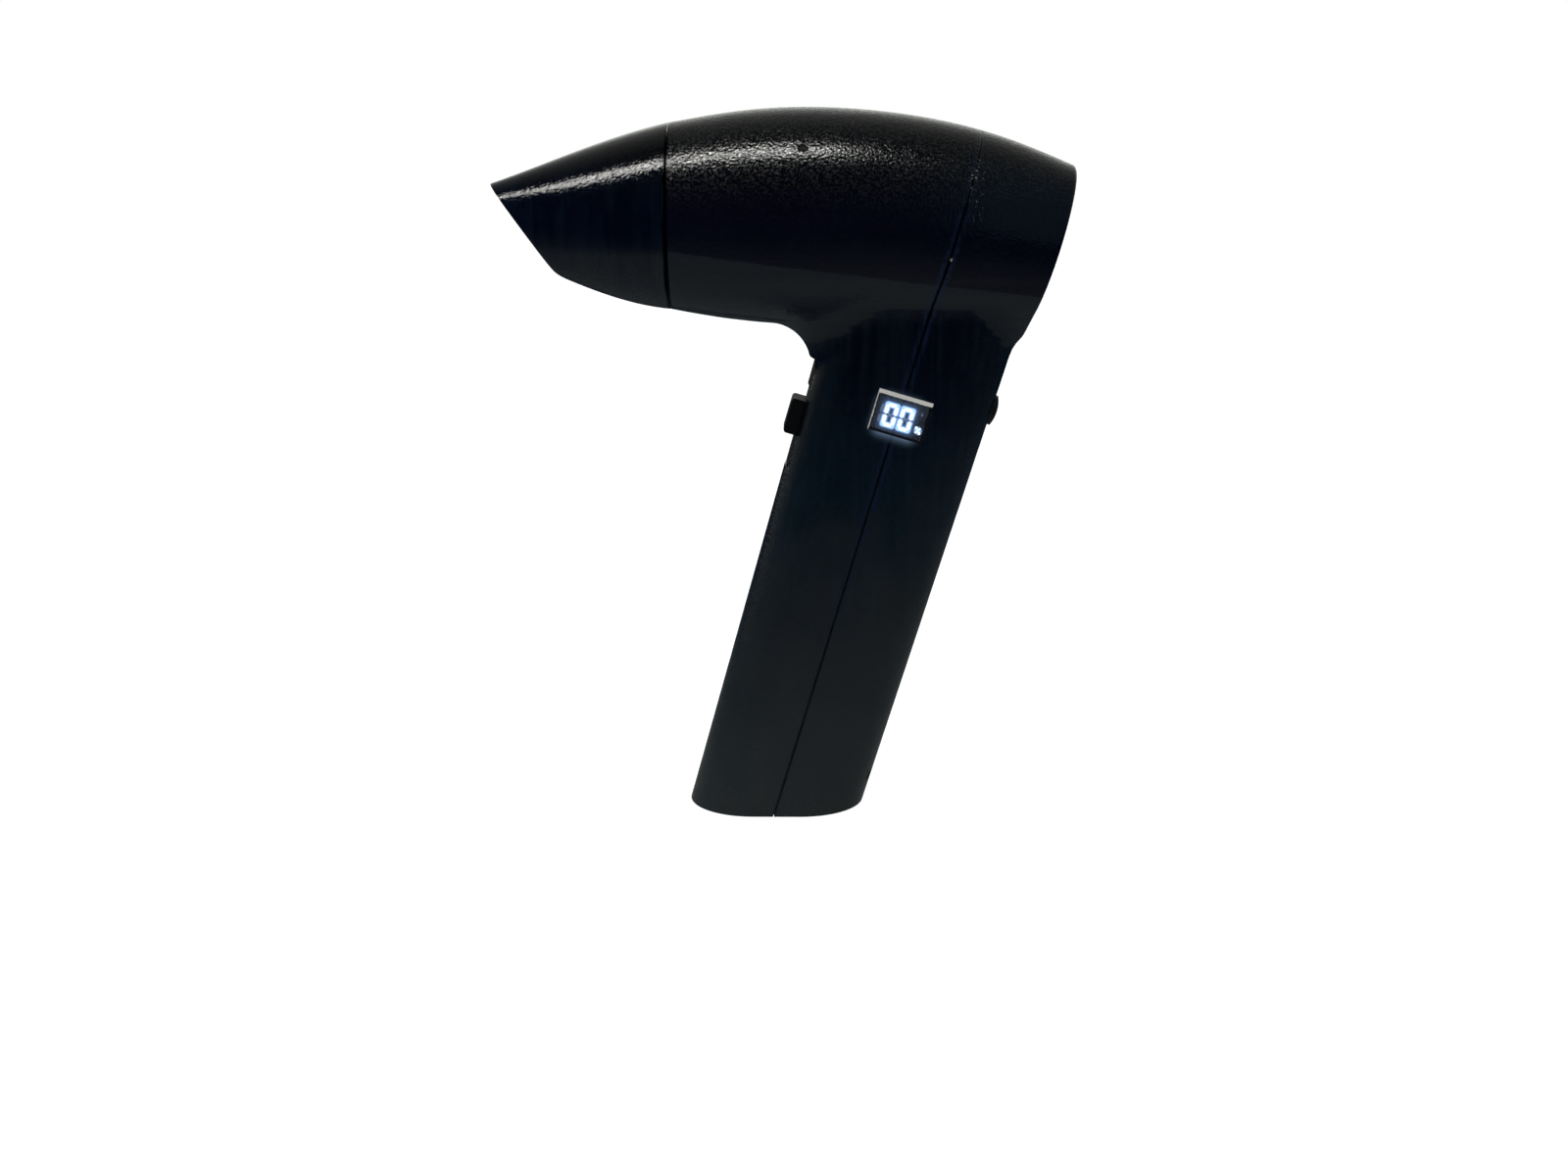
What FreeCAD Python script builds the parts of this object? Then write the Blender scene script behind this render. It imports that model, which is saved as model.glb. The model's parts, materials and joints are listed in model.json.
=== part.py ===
import FreeCAD, Part
import math
import os
from FreeCAD import Placement, Rotation, Vector

# Hand-held blower that dries a car with air: a pistol-shaped housing in two halves, a pulled-out nozzle
# in front, a ducted fan in the barrel, and two round cells in the handle. Millimetres. The origin is the
# centre of the base, +Z is up, the nozzle points along -X, and the display is on the -Y side.
# Handle frame: t is measured backwards and s upwards along the leaning handle, both from the origin.

# Stance
LEAN_ANGLE = 16.4           # lean of the handle's axis, backwards from the vertical
BASE_WALL = 2.6             # floor of the handle

# Walls and fits
WALL = 2.2                  # moulded wall of both housing halves
SEAM_GAP = 0.3              # open joint line between neighbouring shells
TONGUE_LENGTH = 2.0         # how far the rear half reaches into the front half
TONGUE_CLEARANCE = 0.1
SEAT_CLEARANCE = 0.1        # a fixed piece beside its seat
RUN_CLEARANCE = 0.05        # a shaft in its hole
SLIDE_CLEARANCE = 0.25      # a cap or lever in its opening
FIXED_GAP = 0.3             # open room between fixed pieces that don't carry each other

# Handle
HANDLE_WIDTH = 34.0
FRONT_REACH_BASE = 23.7     # from the axis to the front at s = 0
FRONT_REACH_TOP = 25.8      # the same near the barrel
BACK_REACH_BASE = 22.9
BACK_REACH_TOP = 24.1
GRIP_ABOVE_SLOT = -4.0      # height of the upper reaches, from the trigger slot's top
HANDLE_BLEND = 11.5         # concave radius where the handle runs into the barrel
SEAM_FORWARD = 1.0          # the split plane lies this far in front of the handle's axis

# Barrel: round sections from the nozzle seam to the rear face
BARREL_ABOVE_SLOT = 11.3    # from the trigger slot's top to the barrel's underside, on the axes
WIDEST_X = 6.0
WIDEST_RADIUS = 28.3
SEAM_X = -28.3
SEAM_STEP = 3.95            # how much smaller the section is than the widest one
SHOULDER_X = -13.0
SHOULDER_STEP = 1.4
BEND_X = 27.0
BEND_STEP = 0.7
BEND_DROP = 0.5             # how far the section's centre lies below the barrel's axis
SPLIT_X = 45.9
SPLIT_STEP = 1.9
SPLIT_DROP = 2.9
REAR_BEHIND_HANDLE = 1.7    # from the handle's upper back to the rear face, across the handle
REAR_STEP = 6.5
REAR_DROP = 7.8
RUNOUT = 12.0               # the sections go on this far before the rear face cuts them
RUNOUT_TAPER = 1.8
REAR_EDGE_ROUND = 1.2

# Nozzle: places are measured forwards from its seam
NOZZLE_LENGTH = 47.4
NOZZLE_TIP_RADIUS = 8.8
NOZZLE_WAIST = 25.4
NOZZLE_WAIST_RADIUS = 17.0
NOZZLE_WAIST_DROP = 0.45    # how far the section's centre lies below the barrel's axis
NOZZLE_CHEEK = 12.4
NOZZLE_CHEEK_RADIUS = 21.5
NOZZLE_CHEEK_DROP = 0.5
NOZZLE_WALL = 1.8
NOZZLE_CHEEK_THICKENING = 0.8
MOUTH_HEEL = 30.4           # where the straight slanted mouth ends, below the axis
MOUTH_HEEL_DROP = 13.9
MOUTH_HEEL_ROUND = 8.0      # radius that leads from the slant to the underside
MOUTH_HEEL_TURN = 27.0
MOUTH_HOLLOW = 0.7          # how far the slant is hollowed halfway
SPIGOT_LENGTH = 7.6
SPIGOT_SEAT_WALL = 2.25     # wall of the barrel round the spigot
SPIGOT_WALL = 1.8

# Fan
SHROUD_ROOM = 4.1           # from the shroud to the barrel's inner wall at its widest
SHROUD_WALL = 1.0
SHROUD_BEHIND_FAN = 8.0     # how far the inlet reaches behind the impeller
INLET_LIP_LENGTH = 3.0
INLET_LIP_FLARE = 0.9
INLET_LIP_EDGE = 0.3
HUB_RADIUS = 12.0
HUB_WALL = 0.9
HUB_BACK_X = 5.5            # back face of the plate between the motor and the impeller
HUB_PLATE = 1.5
STATOR_VANES = 7
VANE_THICKNESS = 1.1
VANE_LENGTH = 14.5
VANE_INSET = 1.0            # from the plate's back face to the vanes
VANE_SWEEP = 5.0
VANE_BULGE = 1.5
RING_THICKNESS = 2.4
RING_FRONT_INSET = 2.0      # from the shroud's front end to its front ring
RING_BACK_INSET = 9.0       # from the shroud's back end to its rear ring
LEAD_GATE = 11.9            # half width of the opening in the rings for the motor's leads
BLADES = 9
BLADE_TIP_GAP = 0.35
BLADE_THICKNESS = 1.5
BLADE_CHORD_ROOT = 11.5
BLADE_CHORD_TIP = 13.5
BLADE_ANGLE_ROOT = 38.0     # from the axis
BLADE_ANGLE_TIP = 60.0
BLADE_TWIST_HALFWAY = 0.6   # share of the twist that the middle section has
BLADE_CAMBER = 0.07         # of the chord
IMPELLER_GAP = 1.5          # behind the plate
IMPELLER_LENGTH = 11.0
IMPELLER_HUB_STEP = 0.2     # how much smaller the impeller's hub is than the motor cup
IMPELLER_HUB_WALL = 1.6
IMPELLER_CORE_WALL = 2.5    # round the shaft
IMPELLER_WEB = 4.0
SPINNER_LENGTH = 9.0
NUT_FLATS = 5.0
NUT_HEIGHT = 2.0
TAIL_LENGTH = 13.0
TAIL_END_RADIUS = 2.5
TAIL_WALL = 1.2
TAIL_BEND_PLACE = 0.55      # of the length, where the cone's curve is set
TAIL_BEND_SHARE = 0.72      # of the hub's radius there
TAIL_CAVITY_SHARE = 0.7     # of the length

# Motor
MOTOR_LENGTH = 15.0
MOTOR_WALL = 1.0
END_CAP_THICKNESS = 1.4
SHAFT_RADIUS = 1.25
BEARING_RADIUS = 3.0
BEARING_WIDTH = 2.3
MAGNET_RADIUS = 5.2
MAGNET_LENGTH = 8.0
AIR_GAP = 0.4
STATOR_TEETH = 6
STATOR_LENGTH = 7.0
STATOR_BACK_IRON = 1.4
TOOTH_WIDTH = 2.0
WINDING_THICKNESS = 0.9
MOTOR_SCREW_CIRCLE = 7.0
MOTOR_SCREWS = 4
MOTOR_SCREW_RADIUS = 0.85
MOTOR_SCREW_HOLE = 0.9
CLEARANCE_HOLE = 0.25
END_CAP_CLEARANCE = 0.6
BEARING_RING = 0.55
BEARING_GROOVE = 0.25
TOOTH_SHOE = 0.7
MOTOR_SCREW_HEAD = 1.6
MOTOR_SCREW_HEAD_HEIGHT = 0.8
SHAFT_END = 0.8             # beyond the nut
SHAFT_FRONT = 0.6           # beyond the front bearing
SHAFT_CHAMFER = 0.25

# Battery
CELL_RADIUS = 9.2
CELL_LENGTH = 65.0
CELL_GAP = 0.8
CELL_CAP_RADIUS = 2.8
CELL_CAP_HEIGHT = 0.6
CELL_SHOULDER = 0.8
HOLDER_PLATE = 2.8
HOLDER_RAIL_RADIUS = 2.4
HOLDER_RAIL_Y = 8.4
HOLDER_LEAD_HOLE = 1.2
BALANCE_HOLE_Y = 3.2
STRIP_THICKNESS = 0.4
STRIP_WIDTH = 8.0

# Trigger
SLOT_ABOVE_HOLDER = 3.25    # from the battery holder to the slot's lower end
SLOT_LENGTH = 30.0
SLOT_WIDTH = 11.0
TRIGGER_DEPTH = 3.4
TRIGGER_INSET = 0.2
TRIGGER_FOOT_GAP = 0.6      # room below the lever for its swing
NOTCH_DEPTH = 0.9
NOTCH_HEIGHT = 4.5
NOTCH_SLOPE = 0.8
FINGER_ABOVE_FOOT = 8.8     # from the slot's lower end to the finger pad
FINGER_HEIGHT = 9.6
FINGER_PROUD = 2.9
FINGER_WIDTH = 10.3
FINGER_ROUND = 0.9
FINGER_ROOT = 2.0
PIVOT_BELOW_TOP = 3.5       # from the slot's upper end to the pin
PIVOT_DEPTH = 4.3           # pivot behind the handle's front line
TRIGGER_PIN_RADIUS = 1.0
TRIGGER_BOSS_RADIUS = 2.6
TRIGGER_HOOK = 2.2
TRIGGER_STEP = 0.6          # how much thicker the lever is at its foot
TRIGGER_STEP_HEIGHT = 8.0
EAR_THICKNESS = 2.2
EAR_RADIUS = 3.4
WEB_DEPTH = 13.2            # from the handle's front line to the cross wall behind the trigger
WEB_THICKNESS = 1.6
WEB_BELOW_SLOT = 1.5
WEB_BELOW_TOP = 2.0
SWITCH_HEIGHT = 12.8
SWITCH_WIDTH = 5.8
SWITCH_DEPTH = 5.6
SWITCH_PIN_HOLE = 0.8
SWITCH_PIN_INSET = 2.2
SWITCH_BACK = 1.0           # solid back of the switch behind the plunger's bore
PLUNGER_ABOVE_FOOT = 5.0
PLUNGER_RADIUS = 0.9
PLUNGER_REST_GAP = 0.3
PLUNGER_TRAVEL = 2.6        # room behind the plunger in its bore
SPRING_ABOVE_FOOT = 16.5
SPRING_END_GAP = 0.1
SPRING_COIL_RADIUS = 2.0
SPRING_WIRE = 0.5
SPRING_TURNS = 5

# Power button at the back
BUTTON_BELOW_SLOT_TOP = 0.2
BUTTON_RADIUS = 4.1
BUTTON_PROUD = 1.6
BUTTON_FLANGE = 0.8
BUTTON_FLANGE_RADIUS = 4.9
BUTTON_TRAVEL = 0.8
BUTTON_DOME = 0.88          # height of the domed part
BUTTON_STEM_RADIUS = 1.5
BUTTON_STEM = 0.6
BUTTON_WALL_GAP = 0.15
TACT_SIZE = 6.0
TACT_HEIGHT = 3.5
TACT_ACTUATOR_RADIUS = 1.4
TACT_ACTUATOR_REACH = 1.2
TACT_ACTUATOR_DEPTH = 1.0
BUTTON_BOARD_THICKNESS = 1.2
BUTTON_BOARD_HALF = 4.2

# Display on the -Y side
DISPLAY_T = -0.4
DISPLAY_BELOW_SLOT_TOP = 6.4
DISPLAY_WIDTH = 14.8
DISPLAY_HEIGHT = 11.2
DISPLAY_PROUD = 0.25
DISPLAY_RIM_TOP = 1.3
DISPLAY_RIM = 0.6
DISPLAY_FLANGE = 1.0
DISPLAY_FLANGE_THICKNESS = 0.6
DISPLAY_BOARD_THICKNESS = 1.0
DISPLAY_BOARD_INSET = 0.2
LENS_GAP = 0.05
LENS_THICKNESS = 0.9
LENS_DEPTH = 0.5
DIGIT_HEIGHT = 6.2
DIGIT_WIDTH = 3.4
DIGIT_PITCH = 4.3
DIGITS_LEFT = 2.6           # from the display's middle to the first digit's
DIGITS_LOW = 0.7
SEGMENT = 0.85
SEGMENT_THICKNESS = 0.2
SEGMENT_GAP = 0.12
SIGN_PITCH = 3.9            # from the last digit to the percent sign
SIGN_HEIGHT = 1.9
SIGN_STROKE = 0.3
SIGN_LEAN = 35.0
SIGN_DOT_RADIUS = 0.38
SIGN_DOT_T = 0.55
SIGN_DOT_S = 0.6
LEAD_BAR_GAP = 0.405        # between the first digit and the unlit bar before it
LEAD_BAR_WIDTH = 0.85

# Boards and wires
BOARD_THICKNESS = 1.6
BOARD_Y = 8.4               # near face of the control board
BOARD_FRONT_T = -8.0
BOARD_BACK_T = 13.0
BOARD_ABOVE_HOLDER = 4.25
BOARD_HEIGHT = 26.0
BOARD_POST_INSET = 3.0
BOARD_POST_RADIUS = 2.2
BOARD_SCREW_HEAD = 1.7
BOARD_SCREW_HEAD_HEIGHT = 1.0
BOARD_HOLE_RADIUS = 1.05
BOARD_SCREW_RADIUS = 0.9
BOARD_SCREW_LENGTH = 6.0
CAPACITOR_RADIUS = 4.0
CAPACITOR_LENGTH = 11.0
CAPACITOR_T = 4.0
CAPACITOR_ABOVE_FOOT = 4.5
CAPACITOR_GROOVE = 0.4
CAPACITOR_GROOVE_HEIGHT = 1.4
CHIP_SIZE = 5.0
CHIP_HEIGHT = 1.0
TRANSISTORS = 3
TRANSISTOR_FRONT = 1.5
TRANSISTOR_PITCH = 4.6
TRANSISTOR_WIDTH = 4.0
TRANSISTOR_HEIGHT = 1.2
TRANSISTOR_TOP_INSET = 3.5
TRANSISTOR_LEG = 0.9
TRANSISTOR_LEG_HEIGHT = 0.5
TRANSISTOR_LEG_INSET = 0.6
LEAD_RADIUS = 0.8
LEAD_GAP = 0.1
LEAD_PITCH = 1.9
LEAD_BEND = 5.0
BATTERY_LEAD_BEND = 1.8
BATTERY_LEAD_SHIFT = 2.8    # of each wire's foot from its cell's axis towards the middle
BATTERY_LEAD_INSET = 2.0    # of the first wire from the board's front edge
BATTERY_LEAD_PITCH = 3.5
BATTERY_LEAD_HEIGHTS = (2.0, 6.0, 11.0)     # of the wires' corners and ends above the holder
MOTOR_LEAD_RISE = 9.0

# Charging inlet in the base
INLET_T = 9.0
INLET_WIDTH = 9.0
INLET_THICKNESS = 3.2
INLET_DEPTH = 7.5
INLET_RECESS = 0.5          # of the socket behind the base's face
INLET_CORNER = 0.93         # of half the thickness
SOCKET_WALL = 0.35
SOCKET_BACK = 1.0
SOCKET_BLADE_INSET = 1.3
SOCKET_BLADE_RECESS = 0.8
CHARGE_BOARD_WIDTH = 20.0
CHARGE_BOARD_FRONT_T = -10.0
CHARGE_BOARD_BACK_T = 14.5
CHARGE_COIL_SIZE = 6.0
CHARGE_COIL_HEIGHT = 3.5
CHARGE_COIL_INSET = 3.0

# Screws that hold the halves together
SCREW_RADIUS = 1.1
SCREW_HEAD_RADIUS = 1.9
SCREW_HEAD_HEIGHT = 1.6
SCREW_LENGTH = 16.0
SCREW_SEAT_T = 7.0
SCREW_LOW_Y = 4.6           # a pair near the base
SCREW_ABOVE_SLOT = 10.0     # one above the power button
SCREW_DRIVE_RADIUS = 0.9
SCREW_DRIVE_DEPTH = 1.0
BOSS_RADIUS = 2.7

# Intake grille
GRILLE_THICKNESS = 1.8
GRILLE_RINGS = 4
GRILLE_SPOKES = 6
GRILLE_BAR = 1.3
GRILLE_HUB_RADIUS = 3.0
GRILLE_INSET = 0.8
GRILLE_RING_STEP = 0.3      # how much thinner the rings are than the rim, on each face
LEDGE_WIDTH = 1.2
LEDGE_THICKNESS = 1.2

FAR = 400.0                 # larger than the whole object
OVERRUN = 1.0               # how far a cutter reaches past what it cuts
TOUCH = 0.01                # distance at which two surfaces count as one

# Worked-out places along the handle, from the base up
HALF_WIDTH = HANDLE_WIDTH / 2
LEAN = math.radians(LEAN_ANGLE)
HANDLE_ROTATION = Rotation(Vector(0, 1, 0), LEAN_ANGLE)
INLET_FOOT_S = INLET_T * math.tan(LEAN) + INLET_RECESS
CHARGE_BOARD_TOP_S = INLET_FOOT_S + INLET_DEPTH + BOARD_THICKNESS
SCREW_LOW_S = CHARGE_BOARD_TOP_S + FIXED_GAP + BOSS_RADIUS
CELL_FOOT = SCREW_LOW_S + BOSS_RADIUS + FIXED_GAP + HOLDER_PLATE + STRIP_THICKNESS
CELL_TOP = CELL_FOOT + CELL_LENGTH
HOLDER_TOP_S = CELL_TOP + STRIP_THICKNESS + HOLDER_PLATE
SLOT_FOOT = HOLDER_TOP_S + SLOT_ABOVE_HOLDER
SLOT_TOP = SLOT_FOOT + SLOT_LENGTH
GRIP_HEIGHT = SLOT_TOP + GRIP_ABOVE_SLOT
FINGER_FOOT = SLOT_FOOT + FINGER_ABOVE_FOOT
PIVOT_S = SLOT_TOP - PIVOT_BELOW_TOP
WEB_T = WEB_DEPTH - FRONT_REACH_TOP
PLUNGER_S = SLOT_FOOT + PLUNGER_ABOVE_FOOT
SPRING_S = SLOT_FOOT + SPRING_ABOVE_FOOT
BUTTON_S = SLOT_TOP - BUTTON_BELOW_SLOT_TOP
DISPLAY_S = SLOT_TOP - DISPLAY_BELOW_SLOT_TOP
BOARD_FOOT_S = HOLDER_TOP_S + BOARD_ABOVE_HOLDER
BOARD_TOP_S = BOARD_FOOT_S + BOARD_HEIGHT
SCREW_HIGH_S = SLOT_TOP + SCREW_ABOVE_SLOT
BARREL_AXIS_Z = SLOT_TOP + BARREL_ABOVE_SLOT + WIDEST_RADIUS
HANDLE_TOP = BARREL_AXIS_Z / math.cos(LEAN)     # the handle's walls end inside the barrel, at its axis

# Worked-out radii and places along the barrel
REAR_FACE_T = BACK_REACH_TOP + REAR_BEHIND_HANDLE
REAR_X = (REAR_FACE_T + (BARREL_AXIS_Z - REAR_DROP) * math.sin(LEAN)) / math.cos(LEAN)
SEAM_RADIUS = WIDEST_RADIUS - SEAM_STEP
REAR_RADIUS = WIDEST_RADIUS - REAR_STEP
OPENING_RADIUS = REAR_RADIUS - WALL
SPIGOT_RADIUS = SEAM_RADIUS - SPIGOT_SEAT_WALL - SEAT_CLEARANCE
SHROUD_RADIUS = WIDEST_RADIUS - WALL - SHROUD_ROOM
MOTOR_RADIUS = HUB_RADIUS - HUB_WALL - SEAT_CLEARANCE
MOTOR_BACK_X = HUB_BACK_X - HUB_PLATE
MOTOR_FRONT_X = MOTOR_BACK_X - MOTOR_LENGTH
MOTOR_MIDDLE_X = (MOTOR_FRONT_X + MOTOR_BACK_X) / 2
HUB_FRONT_X = MOTOR_FRONT_X - END_CAP_THICKNESS - FIXED_GAP
SHROUD_FRONT_X = HUB_FRONT_X - FIXED_GAP
IMPELLER_FRONT_X = HUB_BACK_X + IMPELLER_GAP
IMPELLER_BACK_X = IMPELLER_FRONT_X + IMPELLER_LENGTH
IMPELLER_HUB_RADIUS = HUB_RADIUS - IMPELLER_HUB_STEP
IMPELLER_TIP_RADIUS = SHROUD_RADIUS - SHROUD_WALL - BLADE_TIP_GAP
SHROUD_BACK_X = IMPELLER_BACK_X + SHROUD_BEHIND_FAN
VANE_BACK_X = HUB_BACK_X - VANE_INSET
VANE_FRONT_X = VANE_BACK_X - VANE_LENGTH


# Frames and plain shapes

def leaned(shape):
    """Takes a shape from the handle frame, where X is t and Z is s, to the object's frame."""
    placed = shape.copy()
    placed.Placement = Placement(Vector(0, 0, 0), HANDLE_ROTATION).multiply(shape.Placement)
    return placed


def to_handle(x, z):
    """t and s of a point in the middle plane."""
    return x * math.cos(LEAN) - z * math.sin(LEAN), x * math.sin(LEAN) + z * math.cos(LEAN)


def box(x0, x1, y0, y1, z0, z1):
    return Part.makeBox(x1 - x0, y1 - y0, z1 - z0, Vector(x0, y0, z0))


def rod_x(radius, x0, x1, y=0.0, z=0.0):
    return Part.makeCylinder(radius, x1 - x0, Vector(x0, y, z), Vector(1, 0, 0))


def rod_y(radius, y0, y1, x, z):
    return Part.makeCylinder(radius, y1 - y0, Vector(x, y0, z), Vector(0, 1, 0))


def rod_z(radius, z0, z1, x=0.0, y=0.0):
    return Part.makeCylinder(radius, z1 - z0, Vector(x, y, z0), Vector(0, 0, 1))


def tube_x(outer, inner, x0, x1):
    return rod_x(outer, x0, x1).cut(rod_x(inner, x0 - OVERRUN, x1 + OVERRUN))


def on_fan_axis(shape):
    """Moves a shape made round the X axis to the barrel's axis."""
    placed = shape.copy()
    placed.Placement = Placement(Vector(0, 0, BARREL_AXIS_Z), Rotation()).multiply(shape.Placement)
    return placed


def joined(shapes):
    return shapes[0].multiFuse(shapes[1:])


def fused(shapes):
    """Joins shapes and merges faces that lie on one surface."""
    return joined(shapes).removeSplitter()


def group(shapes):
    solids = []
    for shape in shapes:
        solids.extend(shape.Solids)
    return Part.makeCompound(solids)


def around_x(shape, count):
    """Copies of a shape, evenly spaced round the X axis."""
    copies = []
    for index in range(count):
        turned = shape.copy()
        turned.rotate(Vector(0, 0, 0), Vector(1, 0, 0), 360.0 * index / count)
        copies.append(turned)
    return copies


def dome_arc(x0, x1, radius):
    """Profile of a round cap: part of a sphere from the rim at x0 to the axis at x1."""
    rise = x1 - x0
    sphere = (radius ** 2 + rise ** 2) / (2 * rise)
    centre = x1 - sphere
    half_turn = math.atan2(radius, x0 - centre) / 2
    middle = Vector(centre + sphere * math.cos(half_turn), 0, sphere * math.sin(half_turn))
    return Part.Arc(Vector(x0, 0, radius), middle, Vector(x1, 0, 0)).toShape()


def front_reach(s):
    return FRONT_REACH_BASE + (FRONT_REACH_TOP - FRONT_REACH_BASE) * s / GRIP_HEIGHT


def back_reach(s):
    return BACK_REACH_BASE + (BACK_REACH_TOP - BACK_REACH_BASE) * s / GRIP_HEIGHT


# Outer and inner volumes of the housing

def stadium(front, back, radius, s):
    """A section with straight sides and half-round ends, whose centres are at front and back."""
    corners = [Vector(front, -radius, s), Vector(back, -radius, s), Vector(back, radius, s),
               Vector(front, radius, s)]
    edges = [
        Part.makeLine(corners[0], corners[1]),
        Part.Arc(corners[1], Vector(back + radius, 0, s), corners[2]).toShape(),
        Part.makeLine(corners[2], corners[3]),
        Part.Arc(corners[3], Vector(front - radius, 0, s), corners[0]).toShape(),
    ]
    return Part.Wire(edges)


def handle_section(s, inset, reach_s):
    """The handle's section at height s, as deep as the handle is at reach_s."""
    return stadium(HALF_WIDTH - front_reach(reach_s), back_reach(reach_s) - HALF_WIDTH, HALF_WIDTH - inset, s)


def handle_volume(inset):
    foot = -HANDLE_WIDTH * math.sin(LEAN) - WALL
    sections = [handle_section(s, inset, s) for s in (foot, HANDLE_TOP)]
    return leaned(Part.makeLoft(sections, True, True))


def barrel_stations():
    """Centre, tilt and radius of each round section, from the nozzle seam to past the rear face."""
    away = math.hypot(REAR_X - SPLIT_X, REAR_DROP - SPLIT_DROP)
    step_x = RUNOUT * (REAR_X - SPLIT_X) / away
    step_z = RUNOUT * (REAR_DROP - SPLIT_DROP) / away
    return [
        (SEAM_X, 0.0, 0.0, SEAM_RADIUS),
        (SHOULDER_X, 0.0, 0.0, WIDEST_RADIUS - SHOULDER_STEP),
        (WIDEST_X, 0.0, 0.0, WIDEST_RADIUS),
        (BEND_X, BEND_DROP, LEAN_ANGLE / 2, WIDEST_RADIUS - BEND_STEP),
        (SPLIT_X, SPLIT_DROP, LEAN_ANGLE, WIDEST_RADIUS - SPLIT_STEP),
        (REAR_X, REAR_DROP, LEAN_ANGLE, REAR_RADIUS),
        (REAR_X + step_x, REAR_DROP + step_z, LEAN_ANGLE, REAR_RADIUS - RUNOUT_TAPER),
    ]


def barrel_volume(inset):
    wires = []
    for x, drop, tilt, radius in barrel_stations():
        normal = Vector(math.cos(math.radians(tilt)), 0, -math.sin(math.radians(tilt)))
        circle = Part.Circle(Vector(x, 0, BARREL_AXIS_Z - drop), normal, radius - inset)
        wires.append(Part.Wire([circle.toShape()]))
    return Part.makeLoft(wires, True, False)


def rear_centre_s():
    return to_handle(REAR_X, BARREL_AXIS_Z - REAR_DROP)[1]


def crease_edges(body, first, second):
    """Edges where the surfaces of two joined volumes meet."""
    found = []
    for edge in body.Edges:
        middle = edge.valueAt((edge.FirstParameter + edge.LastParameter) / 2)
        point = Part.Vertex(middle)
        on_first = first.Shells[0].distToShape(point)[0] < TOUCH
        on_second = second.Shells[0].distToShape(point)[0] < TOUCH
        if on_first and on_second:
            found.append(edge)
    return found


def outer_volume():
    barrel = barrel_volume(0)
    handle = handle_volume(0)
    body = barrel.fuse(handle)
    body = body.makeFillet(HANDLE_BLEND, crease_edges(body, barrel, handle))
    body = body.common(box(-FAR, FAR, -FAR, FAR, 0, FAR))
    body = body.common(leaned(box(-FAR, REAR_FACE_T, -FAR, FAR, -FAR, FAR)))
    rim = [edge for edge in body.Edges if is_rear_rim(edge)]
    return body.makeFillet(REAR_EDGE_ROUND, rim)


def is_rear_rim(edge):
    """The round upper edge of the flat rear face."""
    middle = edge.valueAt((edge.FirstParameter + edge.LastParameter) / 2)
    t, s = to_handle(middle.x, middle.z)
    ends = [to_handle(vertex.Point.x, vertex.Point.z)[0] for vertex in edge.Vertexes]
    flat = all(abs(end - REAR_FACE_T) < TOUCH for end in ends)
    return flat and abs(t - REAR_FACE_T) < TOUCH and s > rear_centre_s() - REAR_RADIUS - OVERRUN


def hollow(inset):
    """What lies inside the walls, for walls as thick as inset."""
    floor = BASE_WALL * inset / WALL
    seat_end = SEAM_X + SPIGOT_LENGTH + SEAT_CLEARANCE
    barrel = barrel_volume(inset).common(box(seat_end, FAR, -FAR, FAR, -FAR, FAR))
    handle = handle_volume(inset).common(box(-FAR, FAR, -FAR, FAR, floor, FAR))
    return barrel.fuse(handle)


def slab(t0, t1):
    return leaned(box(t0, t1, -FAR, FAR, -FAR, FAR))


# Openings in the walls

def display_opening():
    half_w = DISPLAY_WIDTH / 2 + SEAT_CLEARANCE
    half_h = DISPLAY_HEIGHT / 2 + SEAT_CLEARANCE
    return leaned(box(DISPLAY_T - half_w, DISPLAY_T + half_w, -HALF_WIDTH - WALL, -HALF_WIDTH + 2 * WALL,
                      DISPLAY_S - half_h, DISPLAY_S + half_h))


def trigger_slot():
    half = SLOT_WIDTH / 2
    return leaned(box(-2 * FRONT_REACH_TOP, WEB_T - OVERRUN, -half, half, SLOT_FOOT, SLOT_TOP))


def inlet_opening():
    half = INLET_WIDTH / 2 + SEAT_CLEARANCE
    depth = INLET_THICKNESS / 2 + SEAT_CLEARANCE
    slot = box(INLET_T - depth, INLET_T + depth, -half, half, -INLET_DEPTH, INLET_FOOT_S + INLET_DEPTH)
    return leaned(slot.makeFillet(depth * INLET_CORNER, upright_edges(slot)))


def upright_edges(shape):
    """Straight edges that run along Z."""
    found = []
    for edge in shape.Edges:
        first, last = edge.Vertexes[0].Point, edge.Vertexes[-1].Point
        if abs(first.x - last.x) < TOUCH and abs(first.y - last.y) < TOUCH:
            found.append(edge)
    return found


def screw_places():
    return [(-SCREW_LOW_Y, SCREW_LOW_S), (SCREW_LOW_Y, SCREW_LOW_S), (0, SCREW_HIGH_S)]


def bosses(t0, t1):
    return [leaned(rod_x(BOSS_RADIUS, t0, t1, y, s)) for y, s in screw_places()]


def split_t():
    return -SEAM_FORWARD


# Housing halves

def shroud_rings():
    """Two rings inside the barrel that carry the fan shroud."""
    rings = []
    for x in (SHROUD_FRONT_X + RING_FRONT_INSET, SHROUD_BACK_X - RING_BACK_INSET):
        end = x + RING_THICKNESS
        ring = on_fan_axis(tube_x(WIDEST_RADIUS, SHROUD_RADIUS + SEAT_CLEARANCE, x, end))
        ring = ring.common(barrel_volume(WALL / 2))
        gate = box(x - OVERRUN, end + OVERRUN, -LEAD_GATE, LEAD_GATE, 0, BARREL_AXIS_Z - LEAD_GATE)
        rings.append(ring.cut(gate))
    return rings


def pivot_t():
    return PIVOT_DEPTH - front_reach(PIVOT_S)


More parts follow.
